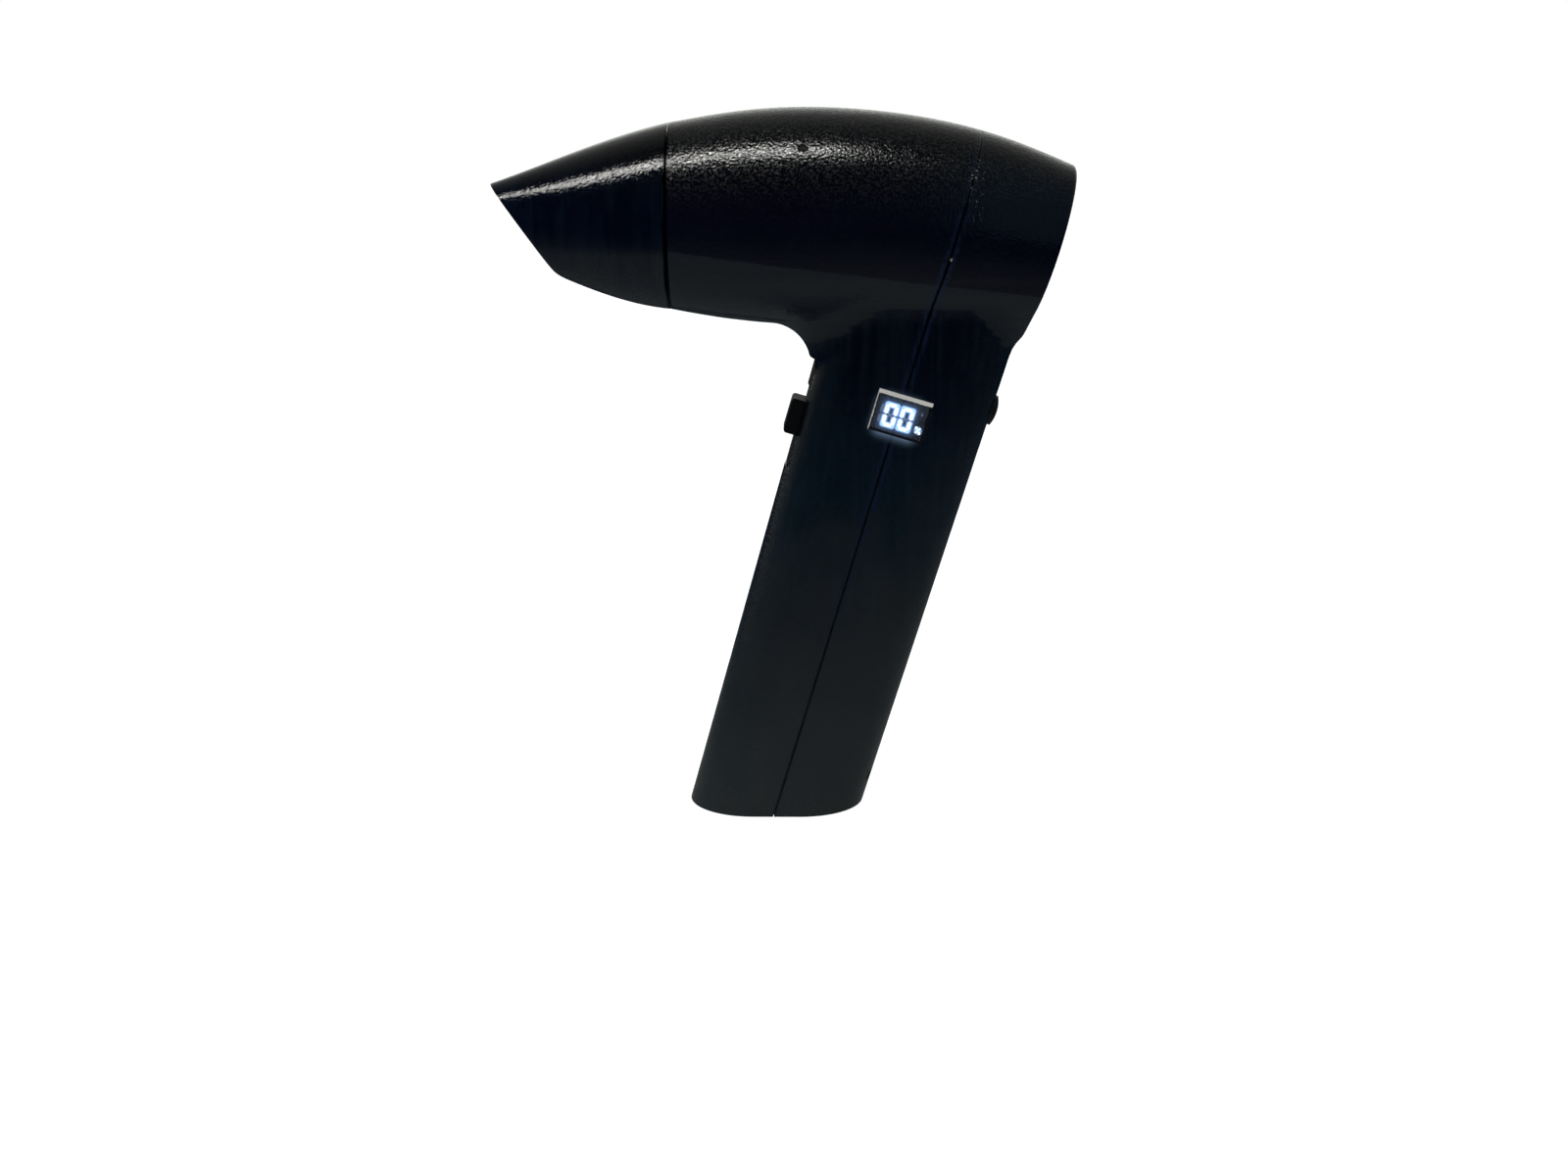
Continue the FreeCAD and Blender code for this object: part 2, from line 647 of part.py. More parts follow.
def trigger_ears():
    """Cheeks beside the trigger slot that hold its pin."""
    inner = SLOT_WIDTH / 2 + SLIDE_CLEARANCE
    ears = []
    for side in (-1, 1):
        y0 = min(side * inner, side * (inner + EAR_THICKNESS))
        cheek = rod_y(EAR_RADIUS, y0, y0 + EAR_THICKNESS, pivot_t(), PIVOT_S)
        arm = box(-FRONT_REACH_TOP, pivot_t(), y0, y0 + EAR_THICKNESS, PIVOT_S - EAR_RADIUS,
                  PIVOT_S + EAR_RADIUS)
        ears.append(leaned(cheek.fuse(arm)).common(handle_volume(WALL / 2)))
    return ears


def switch_web():
    """Cross wall that the trigger's switch and spring bear on."""
    web = box(WEB_T, WEB_T + WEB_THICKNESS, -HALF_WIDTH, HALF_WIDTH, SLOT_FOOT - WEB_BELOW_SLOT,
              SLOT_TOP - WEB_BELOW_TOP)
    return leaned(web).common(handle_volume(WALL / 2))


def front_half(body):
    front = body.common(slab(-FAR, split_t() - SEAM_GAP / 2))
    inside = hollow(WALL / 2)
    boss_rods = [boss.common(inside) for boss in bosses(-FRONT_REACH_TOP, split_t() - SEAM_GAP / 2)]
    front = joined([front] + boss_rods + trigger_ears() + [switch_web()] + shroud_rings())
    rebate = inside.common(slab(split_t() - TONGUE_LENGTH - SEAM_GAP, split_t()))
    front = front.cut(rebate)
    for y, s in screw_places():
        front = front.cut(leaned(rod_x(SCREW_RADIUS, SCREW_SEAT_T - SCREW_LENGTH - OVERRUN, 0, y, s)))
    seat = rod_x(SPIGOT_RADIUS + SEAT_CLEARANCE, SEAM_X - OVERRUN, SEAM_X + SPIGOT_LENGTH + OVERRUN)
    front = front.cut(on_fan_axis(seat))
    return front.cut(trigger_slot()).cut(trigger_pin()).cut(display_opening())


def tongue():
    """Thin lip of the rear half that lines the front half behind the seam."""
    lip = hollow(WALL / 2 + TONGUE_CLEARANCE).common(slab(split_t() - TONGUE_LENGTH, split_t() + SEAM_GAP))
    return lip.cut(hollow(WALL))


def rear_half(body):
    rear = body.common(slab(split_t() + SEAM_GAP / 2, FAR))
    boss_rods = []
    for boss in bosses(split_t() + SEAM_GAP / 2, FAR):
        boss_rods.append(boss.common(handle_volume(WALL / 2)).common(slab(-FAR, BACK_REACH_TOP - WALL / 2)))
    rear = joined([rear, tongue(), grille_ledge()] + boss_rods + board_posts())
    for y, s in screw_places():
        hole = rod_x(SCREW_RADIUS + SEAT_CLEARANCE, split_t() - TONGUE_LENGTH - OVERRUN,
                     SCREW_SEAT_T + OVERRUN, y, s)
        well = rod_x(SCREW_HEAD_RADIUS + SEAT_CLEARANCE, SCREW_SEAT_T, 2 * BACK_REACH_TOP, y, s)
        rear = rear.cut(leaned(hole)).cut(leaned(well))
    button_hole = rod_x(BUTTON_RADIUS + SLIDE_CLEARANCE, button_flange_t() - OVERRUN,
                        2 * BACK_REACH_TOP, 0, BUTTON_S)
    rear = rear.cut(leaned(button_hole))
    for t, s in board_post_places():
        rear = rear.cut(leaned(rod_y(BOARD_SCREW_RADIUS, BOARD_Y, BOARD_Y + BOARD_SCREW_LENGTH, t, s)))
    return rear.cut(inlet_opening()).cut(display_opening())


def board_post_places():
    t = BOARD_BACK_T - BOARD_POST_INSET
    return [(t, BOARD_FOOT_S + BOARD_POST_INSET), (t, BOARD_TOP_S - BOARD_POST_INSET)]


def board_posts():
    posts = []
    for t, s in board_post_places():
        posts.append(leaned(rod_y(BOARD_POST_RADIUS, BOARD_Y + BOARD_THICKNESS, HALF_WIDTH - WALL / 2, t, s)))
    return posts


# Intake

def on_rear_face(shape):
    """Moves a shape made round the X axis, with the rear face at X = 0, to the rear opening."""
    placed = shape.copy()
    place = Placement(Vector(REAR_FACE_T, 0, rear_centre_s()), Rotation())
    placed.Placement = place.multiply(shape.Placement)
    return leaned(placed)


def grille_ledge():
    back = -GRILLE_INSET - GRILLE_THICKNESS
    ring = tube_x(REAR_RADIUS, OPENING_RADIUS - LEDGE_WIDTH, back - LEDGE_THICKNESS, back)
    return on_rear_face(ring).common(barrel_volume(WALL / 2))


def intake_grille():
    """Round guard: a rim, rings and spokes."""
    x0 = -GRILLE_INSET - GRILLE_THICKNESS
    x1 = -GRILLE_INSET
    outer = OPENING_RADIUS - SEAT_CLEARANCE
    pieces = [tube_x(outer, outer - GRILLE_BAR, x0, x1), rod_x(GRILLE_HUB_RADIUS, x0, x1)]
    pitch = (outer - GRILLE_BAR - GRILLE_HUB_RADIUS) / GRILLE_RINGS
    for index in range(1, GRILLE_RINGS):
        radius = GRILLE_HUB_RADIUS + index * pitch + GRILLE_BAR / 2
        pieces.append(tube_x(radius, radius - GRILLE_BAR, x0 + GRILLE_RING_STEP, x1 - GRILLE_RING_STEP))
    spoke = box(x0, x1, -GRILLE_BAR / 2, GRILLE_BAR / 2, GRILLE_HUB_RADIUS / 2, outer - GRILLE_BAR / 2)
    pieces += around_x(spoke, GRILLE_SPOKES)
    return on_rear_face(fused(pieces))


# Nozzle

def nozzle_x(distance):
    return SEAM_X - SEAM_GAP - distance


def nozzle_stations():
    """Distance from the seam, drop of the centre, radius and wall of each round section."""
    return [
        (0.0, 0.0, SEAM_RADIUS, SEAM_RADIUS - SPIGOT_RADIUS + SPIGOT_WALL),
        (NOZZLE_CHEEK, NOZZLE_CHEEK_DROP, NOZZLE_CHEEK_RADIUS, NOZZLE_WALL + NOZZLE_CHEEK_THICKENING),
        (NOZZLE_WAIST, NOZZLE_WAIST_DROP, NOZZLE_WAIST_RADIUS, NOZZLE_WALL),
        (NOZZLE_LENGTH + NOZZLE_WALL, 0.0, NOZZLE_TIP_RADIUS - NOZZLE_WALL / 2, NOZZLE_WALL),
    ]


def nozzle_volume(walls):
    """The outer volume for walls = 0, and the bore for walls = 1."""
    wires = []
    for distance, drop, radius, wall in nozzle_stations():
        circle = Part.Circle(Vector(nozzle_x(distance), 0, -drop), Vector(1, 0, 0), radius - wall * walls)
        wires.append(Part.Wire([circle.toShape()]))
    return Part.makeLoft(wires, True, False)


def nozzle():
    """A shell of round sections, fuller below, with a spigot behind its seam, cut on the slant."""
    spigot = tube_x(SPIGOT_RADIUS, SPIGOT_RADIUS - SPIGOT_WALL, nozzle_x(0), SEAM_X + SPIGOT_LENGTH)
    shell = nozzle_volume(0).cut(nozzle_volume(1)).fuse(spigot)
    return on_fan_axis(shell.cut(mouth_cutter()))


def arc_step(along, across, turn):
    """Way from the start of the heel's arc to the point where it has turned so far."""
    return (along * math.sin(turn) + across * (1 - math.cos(turn))) * MOUTH_HEEL_ROUND


def mouth_cutter():
    """What the slanted mouth takes off the front: a straight slant that rounds off at its lower end."""
    tip = Vector(nozzle_x(NOZZLE_LENGTH), 0, NOZZLE_TIP_RADIUS)
    heel = Vector(nozzle_x(MOUTH_HEEL), 0, -MOUTH_HEEL_DROP)
    along = (heel - tip).normalize()
    across = Vector(-along.z, 0, along.x)
    turn = math.radians(MOUTH_HEEL_TURN)
    middle = heel + arc_step(along, across, turn / 2)
    end = heel + arc_step(along, across, turn)
    high = tip - along * SEAM_RADIUS
    low = end + (along * math.cos(turn) + across * math.sin(turn)) * SEAM_RADIUS
    corners = [low, Vector(low.x, 0, -FAR), Vector(-FAR, 0, -FAR), Vector(-FAR, 0, high.z), high]
    hollow_middle = (tip + heel) / 2 + across * MOUTH_HOLLOW
    edges = [Part.makeLine(high, tip), Part.Arc(tip, hollow_middle, heel).toShape(),
             Part.Arc(heel, middle, end).toShape(), Part.makeLine(end, low)]
    for first, last in zip(corners, corners[1:]):
        edges.append(Part.makeLine(first, last))
    face = Part.Face(Part.Wire(edges))
    face.translate(Vector(0, -2 * SEAM_RADIUS, 0))
    return face.extrude(Vector(0, 4 * SEAM_RADIUS, 0))


# Fan

def fan_shroud():
    """Duct with an inlet lip, a motor cup on its axis, and curved straightening vanes that hold the cup."""
    inner = SHROUD_RADIUS - SHROUD_WALL
    lip_start = SHROUD_BACK_X - INLET_LIP_LENGTH
    lip_radius = SHROUD_RADIUS + INLET_LIP_FLARE
    duct = tube_x(SHROUD_RADIUS, inner, SHROUD_FRONT_X, lip_start)
    foot = Vector(lip_start, 0, 0)
    flare = Part.makeCone(SHROUD_RADIUS, lip_radius, INLET_LIP_LENGTH, foot, Vector(1, 0, 0))
    bore = Part.makeCone(inner, lip_radius - INLET_LIP_EDGE, INLET_LIP_LENGTH, foot, Vector(1, 0, 0))
    cup = tube_x(HUB_RADIUS, HUB_RADIUS - HUB_WALL, HUB_FRONT_X, HUB_BACK_X)
    plate = tube_x(HUB_RADIUS, BEARING_RADIUS + HUB_PLATE, HUB_BACK_X - HUB_PLATE, HUB_BACK_X)
    hole = rod_x(MOTOR_SCREW_RADIUS + CLEARANCE_HOLE, HUB_BACK_X - 2 * HUB_PLATE, HUB_BACK_X + OVERRUN, 0,
                 MOTOR_SCREW_CIRCLE)
    for screw_hole in around_x(hole, MOTOR_SCREWS):
        plate = plate.cut(screw_hole)
    pieces = [duct, flare.cut(bore), cup, plate] + around_x(stator_vane(), STATOR_VANES)
    return on_fan_axis(fused(pieces))


def stator_vane():
    """A curved plate from the cup to the duct: an arc in side view, as thick as VANE_THICKNESS."""
    back = Vector(VANE_BACK_X, -VANE_SWEEP, 0)
    middle = Vector((VANE_BACK_X + VANE_FRONT_X) / 2 + VANE_BULGE, -VANE_SWEEP / 3, 0)
    front = Vector(VANE_FRONT_X, 0, 0)
    shift = Vector(0, VANE_THICKNESS, 0)
    inner_side = Part.Arc(back, middle, front).toShape()
    outer_side = Part.Arc(front + shift, middle + shift, back + shift).toShape()
    edges = [inner_side, Part.makeLine(front, front + shift), outer_side, Part.makeLine(back + shift, back)]
    plate = Part.Face(Part.Wire(edges)).extrude(Vector(0, 0, SHROUD_RADIUS))
    band = tube_x(SHROUD_RADIUS - SHROUD_WALL / 2, HUB_RADIUS - HUB_WALL / 2, VANE_FRONT_X, VANE_BACK_X)
    return plate.common(band)


def blade_section(radius, chord, angle):
    """Cambered leaf section at one radius, turned by its angle from the axis."""
    turn = math.radians(angle)
    along = Vector(math.cos(turn), math.sin(turn), 0)
    across = Vector(-math.sin(turn), math.cos(turn), 0)
    centre = Vector((IMPELLER_FRONT_X + IMPELLER_BACK_X) / 2, 0, radius)
    nose = centre + along * (chord / 2)
    tail = centre - along * (chord / 2)
    belly = centre + across * (chord * BLADE_CAMBER - BLADE_THICKNESS / 2)
    crown = centre + across * (chord * BLADE_CAMBER + BLADE_THICKNESS / 2)
    return Part.Wire([Part.Arc(nose, crown, tail).toShape(), Part.Arc(tail, belly, nose).toShape()])


def impeller_blade():
    """Blade lofted from inside the hub's wall to past the duct, and trimmed to the tip radius."""
    root = IMPELLER_HUB_RADIUS - IMPELLER_HUB_WALL + SEAT_CLEARANCE
    over = SHROUD_RADIUS
    middle_chord = (BLADE_CHORD_ROOT + BLADE_CHORD_TIP) / 2
    middle_angle = BLADE_ANGLE_ROOT + (BLADE_ANGLE_TIP - BLADE_ANGLE_ROOT) * BLADE_TWIST_HALFWAY
    sections = [blade_section(root, BLADE_CHORD_ROOT, BLADE_ANGLE_ROOT),
                blade_section((root + over) / 2, middle_chord, middle_angle),
                blade_section(over, BLADE_CHORD_TIP, BLADE_ANGLE_TIP)]
    blade = Part.makeLoft(sections, True, False)
    reach = rod_x(IMPELLER_TIP_RADIUS, IMPELLER_FRONT_X - BLADE_CHORD_TIP, IMPELLER_BACK_X + BLADE_CHORD_TIP)
    return blade.common(reach)


def impeller():
    """Hub with twisted blades, hollow in front round its core."""
    hub = rod_x(IMPELLER_HUB_RADIUS, IMPELLER_FRONT_X, IMPELLER_BACK_X)
    hub = fused([hub] + around_x(impeller_blade(), BLADES))
    hollow_ring = tube_x(IMPELLER_HUB_RADIUS - IMPELLER_HUB_WALL, SHAFT_RADIUS + IMPELLER_CORE_WALL,
                         IMPELLER_FRONT_X - OVERRUN, IMPELLER_BACK_X - IMPELLER_WEB)
    hub = hub.cut(hollow_ring)
    return on_fan_axis(hub.cut(rod_x(SHAFT_RADIUS, IMPELLER_FRONT_X - OVERRUN, IMPELLER_BACK_X + OVERRUN)))


def spinner():
    """Rounded nose over the nut, facing the intake."""
    radius = IMPELLER_HUB_RADIUS
    start = IMPELLER_BACK_X
    end = start + SPINNER_LENGTH
    edges = [dome_arc(start, end, radius), Part.makeLine(Vector(end, 0, 0), Vector(start, 0, 0)),
             Part.makeLine(Vector(start, 0, 0), Vector(start, 0, radius))]
    nose = Part.Face(Part.Wire(edges)).revolve(Vector(0, 0, 0), Vector(1, 0, 0), 360)
    pocket = rod_x(NUT_FLATS / math.sqrt(3) + SLIDE_CLEARANCE, start - OVERRUN, shaft_end_x() + FIXED_GAP)
    return on_fan_axis(nose.cut(pocket))


def hexagon_x(flats, x0, x1):
    radius = flats / math.sqrt(3)
    points = [Vector(x0, radius * math.cos(math.radians(60 * i)), radius * math.sin(math.radians(60 * i)))
              for i in range(7)]
    return Part.Face(Part.makePolygon(points)).extrude(Vector(x1 - x0, 0, 0))


def impeller_nut():
    nut = hexagon_x(NUT_FLATS, IMPELLER_BACK_X, IMPELLER_BACK_X + NUT_HEIGHT)
    hole = rod_x(SHAFT_RADIUS, IMPELLER_BACK_X - OVERRUN, IMPELLER_BACK_X + 2 * NUT_HEIGHT)
    return on_fan_axis(nut.cut(hole))


def tail_cone():
    """Hollow cone that closes the motor cup on the nozzle side."""
    end = HUB_FRONT_X - TAIL_LENGTH
    middle = Vector(HUB_FRONT_X - TAIL_LENGTH * TAIL_BEND_PLACE, 0, HUB_RADIUS * TAIL_BEND_SHARE)
    outer = Part.Arc(Vector(HUB_FRONT_X, 0, HUB_RADIUS), middle, Vector(end, 0, TAIL_END_RADIUS)).toShape()
    edges = [outer, Part.makeLine(Vector(end, 0, TAIL_END_RADIUS), Vector(end, 0, 0)),
             Part.makeLine(Vector(end, 0, 0), Vector(HUB_FRONT_X, 0, 0)),
             Part.makeLine(Vector(HUB_FRONT_X, 0, 0), Vector(HUB_FRONT_X, 0, HUB_RADIUS))]
    cone = Part.Face(Part.Wire(edges)).revolve(Vector(0, 0, 0), Vector(1, 0, 0), 360)
    cavity_length = TAIL_LENGTH * TAIL_CAVITY_SHARE
    cavity = Part.makeCone(TAIL_END_RADIUS, HUB_RADIUS - TAIL_WALL, cavity_length,
                           Vector(HUB_FRONT_X - cavity_length, 0, 0), Vector(1, 0, 0))
    return on_fan_axis(cone.cut(cavity))


# Motor

def motor_case():
    """Can, open in front, with a seat for the rear bearing."""
    seat_x = MOTOR_BACK_X - BEARING_WIDTH
    case = rod_x(MOTOR_RADIUS, MOTOR_FRONT_X, MOTOR_BACK_X)
    case = case.cut(rod_x(MOTOR_RADIUS - MOTOR_WALL, MOTOR_FRONT_X - OVERRUN, seat_x))
    case = case.cut(rod_x(BEARING_RADIUS, seat_x - OVERRUN, MOTOR_BACK_X + OVERRUN))
    hole = rod_x(MOTOR_SCREW_HOLE, seat_x, MOTOR_BACK_X + OVERRUN, 0, MOTOR_SCREW_CIRCLE)
    for screw_hole in around_x(hole, MOTOR_SCREWS):
        case = case.cut(screw_hole)
    return on_fan_axis(case)


def motor_end_cap():
    """Front cover with a collar for the front bearing."""
    cap = rod_x(MOTOR_RADIUS, MOTOR_FRONT_X - END_CAP_THICKNESS, MOTOR_FRONT_X)
    collar = rod_x(BEARING_RADIUS + MOTOR_WALL, MOTOR_FRONT_X - TOUCH, MOTOR_FRONT_X + BEARING_WIDTH)
    cap = cap.fuse(collar).cut(rod_x(BEARING_RADIUS, MOTOR_FRONT_X, MOTOR_FRONT_X + 2 * BEARING_WIDTH))
    shaft_hole = rod_x(SHAFT_RADIUS + END_CAP_CLEARANCE, MOTOR_FRONT_X - 2 * END_CAP_THICKNESS,
                       MOTOR_FRONT_X + OVERRUN)
    return on_fan_axis(cap.cut(shaft_hole))


def bearing(x0):
    """Ball bearing with a groove on each face, between its rings."""
    x1 = x0 + BEARING_WIDTH
    outer = BEARING_RADIUS - BEARING_RING
    inner = SHAFT_RADIUS + BEARING_RING
    race = tube_x(BEARING_RADIUS, SHAFT_RADIUS + RUN_CLEARANCE, x0, x1)
    race = race.cut(tube_x(outer, inner, x0 - OVERRUN, x0 + BEARING_GROOVE))
    return on_fan_axis(race.cut(tube_x(outer, inner, x1 - BEARING_GROOVE, x1 + OVERRUN)))


def motor_stator():
    """Laminated ring with teeth that point at the magnet."""
    x0 = MOTOR_MIDDLE_X - STATOR_LENGTH / 2
    x1 = MOTOR_MIDDLE_X + STATOR_LENGTH / 2
    outer = MOTOR_RADIUS - MOTOR_WALL
    inner = MAGNET_RADIUS + AIR_GAP
    yoke = tube_x(outer, outer - STATOR_BACK_IRON, x0, x1)
    tooth = box(x0, x1, -TOOTH_WIDTH / 2, TOOTH_WIDTH / 2, MAGNET_RADIUS, outer - STATOR_BACK_IRON / 2)
    shoe = box(x0, x1, -TOOTH_WIDTH, TOOTH_WIDTH, MAGNET_RADIUS, inner + TOOTH_SHOE)
    ring = fused([yoke] + around_x(tooth.fuse(shoe), STATOR_TEETH))
    return on_fan_axis(ring.cut(rod_x(inner, x0 - OVERRUN, x1 + OVERRUN)))


def motor_windings():
    """One copper coil round each tooth."""
    x0 = MOTOR_MIDDLE_X - STATOR_LENGTH / 2
    x1 = MOTOR_MIDDLE_X + STATOR_LENGTH / 2
    low = MAGNET_RADIUS + AIR_GAP + TOOTH_SHOE + FIXED_GAP
    high = MOTOR_RADIUS - MOTOR_WALL - STATOR_BACK_IRON - FIXED_GAP
    half = TOOTH_WIDTH / 2
    wide = half + WINDING_THICKNESS
    coil = box(x0 - WINDING_THICKNESS, x1 + WINDING_THICKNESS, -wide, wide, low, high)
    coil = coil.makeFillet(WINDING_THICKNESS / 2, upright_edges(coil))
    coil = coil.cut(box(x0, x1, -half, half, low - OVERRUN, high + OVERRUN))
    return on_fan_axis(group(around_x(coil, STATOR_TEETH)))


def motor_magnet():
    half = MAGNET_LENGTH / 2
    return on_fan_axis(tube_x(MAGNET_RADIUS, SHAFT_RADIUS, MOTOR_MIDDLE_X - half, MOTOR_MIDDLE_X + half))


def shaft_end_x():
    return IMPELLER_BACK_X + NUT_HEIGHT + SHAFT_END


def motor_shaft():
    rod = rod_x(SHAFT_RADIUS, MOTOR_FRONT_X - SHAFT_FRONT, shaft_end_x())
    return on_fan_axis(rod.makeChamfer(SHAFT_CHAMFER, round_edges(rod)))


def round_edges(rod):
    """The two rims of a cylinder."""
    return [edge for edge in rod.Edges if len(edge.Vertexes) == 1]


def motor_screws():
    shank = rod_x(MOTOR_SCREW_RADIUS, MOTOR_BACK_X - BEARING_WIDTH + FIXED_GAP, HUB_BACK_X, 0,
                  MOTOR_SCREW_CIRCLE)
    head = rod_x(MOTOR_SCREW_HEAD, HUB_BACK_X, HUB_BACK_X + MOTOR_SCREW_HEAD_HEIGHT, 0, MOTOR_SCREW_CIRCLE)
    return on_fan_axis(group(around_x(shank.fuse(head), MOTOR_SCREWS)))


# Battery

def cell_t(side):
    return side * (CELL_RADIUS + CELL_GAP / 2)


def lead_t(side):
    """Where a wire leaves its cell's upper strip, nearer the middle than the cell's axis."""
    return cell_t(side) - side * BATTERY_LEAD_SHIFT


def battery_cell(side):
    """Round cell with a rounded shoulder and a raised positive end."""
    shoulder = CELL_TOP - CELL_CAP_HEIGHT
    body = rod_z(CELL_RADIUS, CELL_FOOT, shoulder, cell_t(side))
    body = body.makeFillet(CELL_SHOULDER, round_edges(body))
    cap = rod_z(CELL_CAP_RADIUS, shoulder - SEAT_CLEARANCE, CELL_TOP, cell_t(side))
    return leaned(body.fuse(cap))


def holder_plate(s):
    section = handle_section(s, WALL + FIXED_GAP, CELL_FOOT)
    return Part.Face(section).extrude(Vector(0, 0, HOLDER_PLATE))


def battery_holder():
    """Two end plates and the rails between the cells."""
    low = CELL_FOOT - STRIP_THICKNESS - HOLDER_PLATE
    high = CELL_TOP + STRIP_THICKNESS
    low_plate = holder_plate(low)
    high_plate = holder_plate(high)
    rails = []
    for side in (-1, 1):
        rails.append(rod_z(HOLDER_RAIL_RADIUS, low, HOLDER_TOP_S, 0, side * HOLDER_RAIL_Y))
        balance_hole = rod_z(HOLDER_LEAD_HOLE, low - OVERRUN, CELL_FOOT, 0, side * BALANCE_HOLE_Y)
        lead_hole = rod_z(HOLDER_LEAD_HOLE, high - OVERRUN, HOLDER_TOP_S + OVERRUN, lead_t(side), 0)
        low_plate = low_plate.cut(balance_hole)
        high_plate = high_plate.cut(lead_hole)
    return leaned(fused([low_plate, high_plate] + rails))


def battery_contacts():
    """Welded strips: one across both lower ends, one on each upper end."""
    half = STRIP_WIDTH / 2
    reach = cell_t(1) + half
    strips = [box(-reach, reach, -half, half, CELL_FOOT - STRIP_THICKNESS, CELL_FOOT)]
    for side in (-1, 1):
        centre = cell_t(side)
        strips.append(box(centre - half, centre + half, -half, half, CELL_TOP, CELL_TOP + STRIP_THICKNESS))
    return leaned(group(strips))


def battery_leads():
    """Two wires from the upper strips through the holder to the control board."""
    start = CELL_TOP + STRIP_THICKNESS
    end_y = BOARD_Y - LEAD_RADIUS - LEAD_GAP
    wires = []
    for side, inset in ((-1, BATTERY_LEAD_INSET), (1, BATTERY_LEAD_INSET + BATTERY_LEAD_PITCH)):
        end_t = BOARD_FRONT_T + inset
        heights = [HOLDER_TOP_S + rise for rise in BATTERY_LEAD_HEIGHTS]
        route = [Vector(lead_t(side), 0, start), Vector(lead_t(side), 0, heights[0]),
                 Vector(end_t, end_y, heights[1]), Vector(end_t, end_y, heights[2])]
        wires.append(wire_along(route, LEAD_RADIUS, [BATTERY_LEAD_BEND, BATTERY_LEAD_BEND]))
    return leaned(group(wires))


def wire_along(points, radius, bends):
    """A round wire: straight runs joined by tangent arcs, one radius for each corner."""
    edges = []
    start = points[0]
    for before, corner, after, bend in zip(points, points[1:], points[2:], bends):
        back = (before - corner).normalize()
        ahead = (after - corner).normalize()
        turn = math.pi - back.getAngle(ahead)
        cut = bend * math.tan(turn / 2)
        inner = corner + (back + ahead).normalize() * (bend / math.cos(turn / 2) - bend)
        first = corner + back * cut
        last = corner + ahead * cut
        edges.append(Part.makeLine(start, first))
        edges.append(Part.Arc(first, inner, last).toShape())
        start = last
    edges.append(Part.makeLine(start, points[-1]))
    path = Part.Wire(edges)
    section = Part.Wire([Part.Circle(points[0], points[1] - points[0], radius).toShape()])
    return path.makePipeShell([section], True, False)


# Control board

def control_board():
    plate = box(BOARD_FRONT_T, BOARD_BACK_T, BOARD_Y, BOARD_Y + BOARD_THICKNESS, BOARD_FOOT_S, BOARD_TOP_S)
    for t, s in board_post_places():
        plate = plate.cut(rod_y(BOARD_HOLE_RADIUS, BOARD_Y - OVERRUN, HALF_WIDTH, t, s))
    return leaned(plate)


def transistor_t(index):
    return BOARD_FRONT_T + TRANSISTOR_FRONT + index * TRANSISTOR_PITCH


def board_chips():
    """Power transistors and the controller on the board's near face."""
    top = BOARD_TOP_S - TRANSISTOR_TOP_INSET
    foot = top - CHIP_SIZE
    chips = []
    for index in range(TRANSISTORS):
        t = transistor_t(index)
        body = box(t, t + TRANSISTOR_WIDTH, BOARD_Y - TRANSISTOR_HEIGHT, BOARD_Y, foot, top)
        legs = box(t + TRANSISTOR_LEG_INSET, t + TRANSISTOR_WIDTH - TRANSISTOR_LEG_INSET,
                   BOARD_Y - TRANSISTOR_LEG_HEIGHT, BOARD_Y, foot - TRANSISTOR_LEG, foot)
        chips.append(body.fuse(legs))
    t = BOARD_FRONT_T + CHIP_HEIGHT
    s = BOARD_FOOT_S + 2 * CHIP_SIZE
    chips.append(box(t, t + CHIP_SIZE, BOARD_Y - CHIP_HEIGHT, BOARD_Y, s, s + CHIP_SIZE))
    return leaned(group(chips))


def board_capacitor():
    """Electrolytic capacitor that lies along the board's near face."""
    y = BOARD_Y - CAPACITOR_RADIUS
    foot = BOARD_FOOT_S + CAPACITOR_ABOVE_FOOT
    can = rod_z(CAPACITOR_RADIUS, foot, foot + CAPACITOR_LENGTH, CAPACITOR_T, y)
    low = foot + CAPACITOR_GROOVE_HEIGHT
    high = low + CAPACITOR_GROOVE
    groove = rod_z(2 * CAPACITOR_RADIUS, low, high, CAPACITOR_T, y)
    groove = groove.cut(rod_z(CAPACITOR_RADIUS - CAPACITOR_GROOVE, low, high, CAPACITOR_T, y))
    return leaned(can.cut(groove))


def board_screws():
    screws = []
    for t, s in board_post_places():
        head = rod_y(BOARD_SCREW_HEAD, BOARD_Y - BOARD_SCREW_HEAD_HEIGHT, BOARD_Y, t, s)
        shank = rod_y(BOARD_SCREW_RADIUS, BOARD_Y - BOARD_SCREW_HEAD_HEIGHT / 2,
                      BOARD_Y + BOARD_SCREW_LENGTH - FIXED_GAP, t, s)
        screws.append(head.fuse(shank))
    return leaned(group(screws))


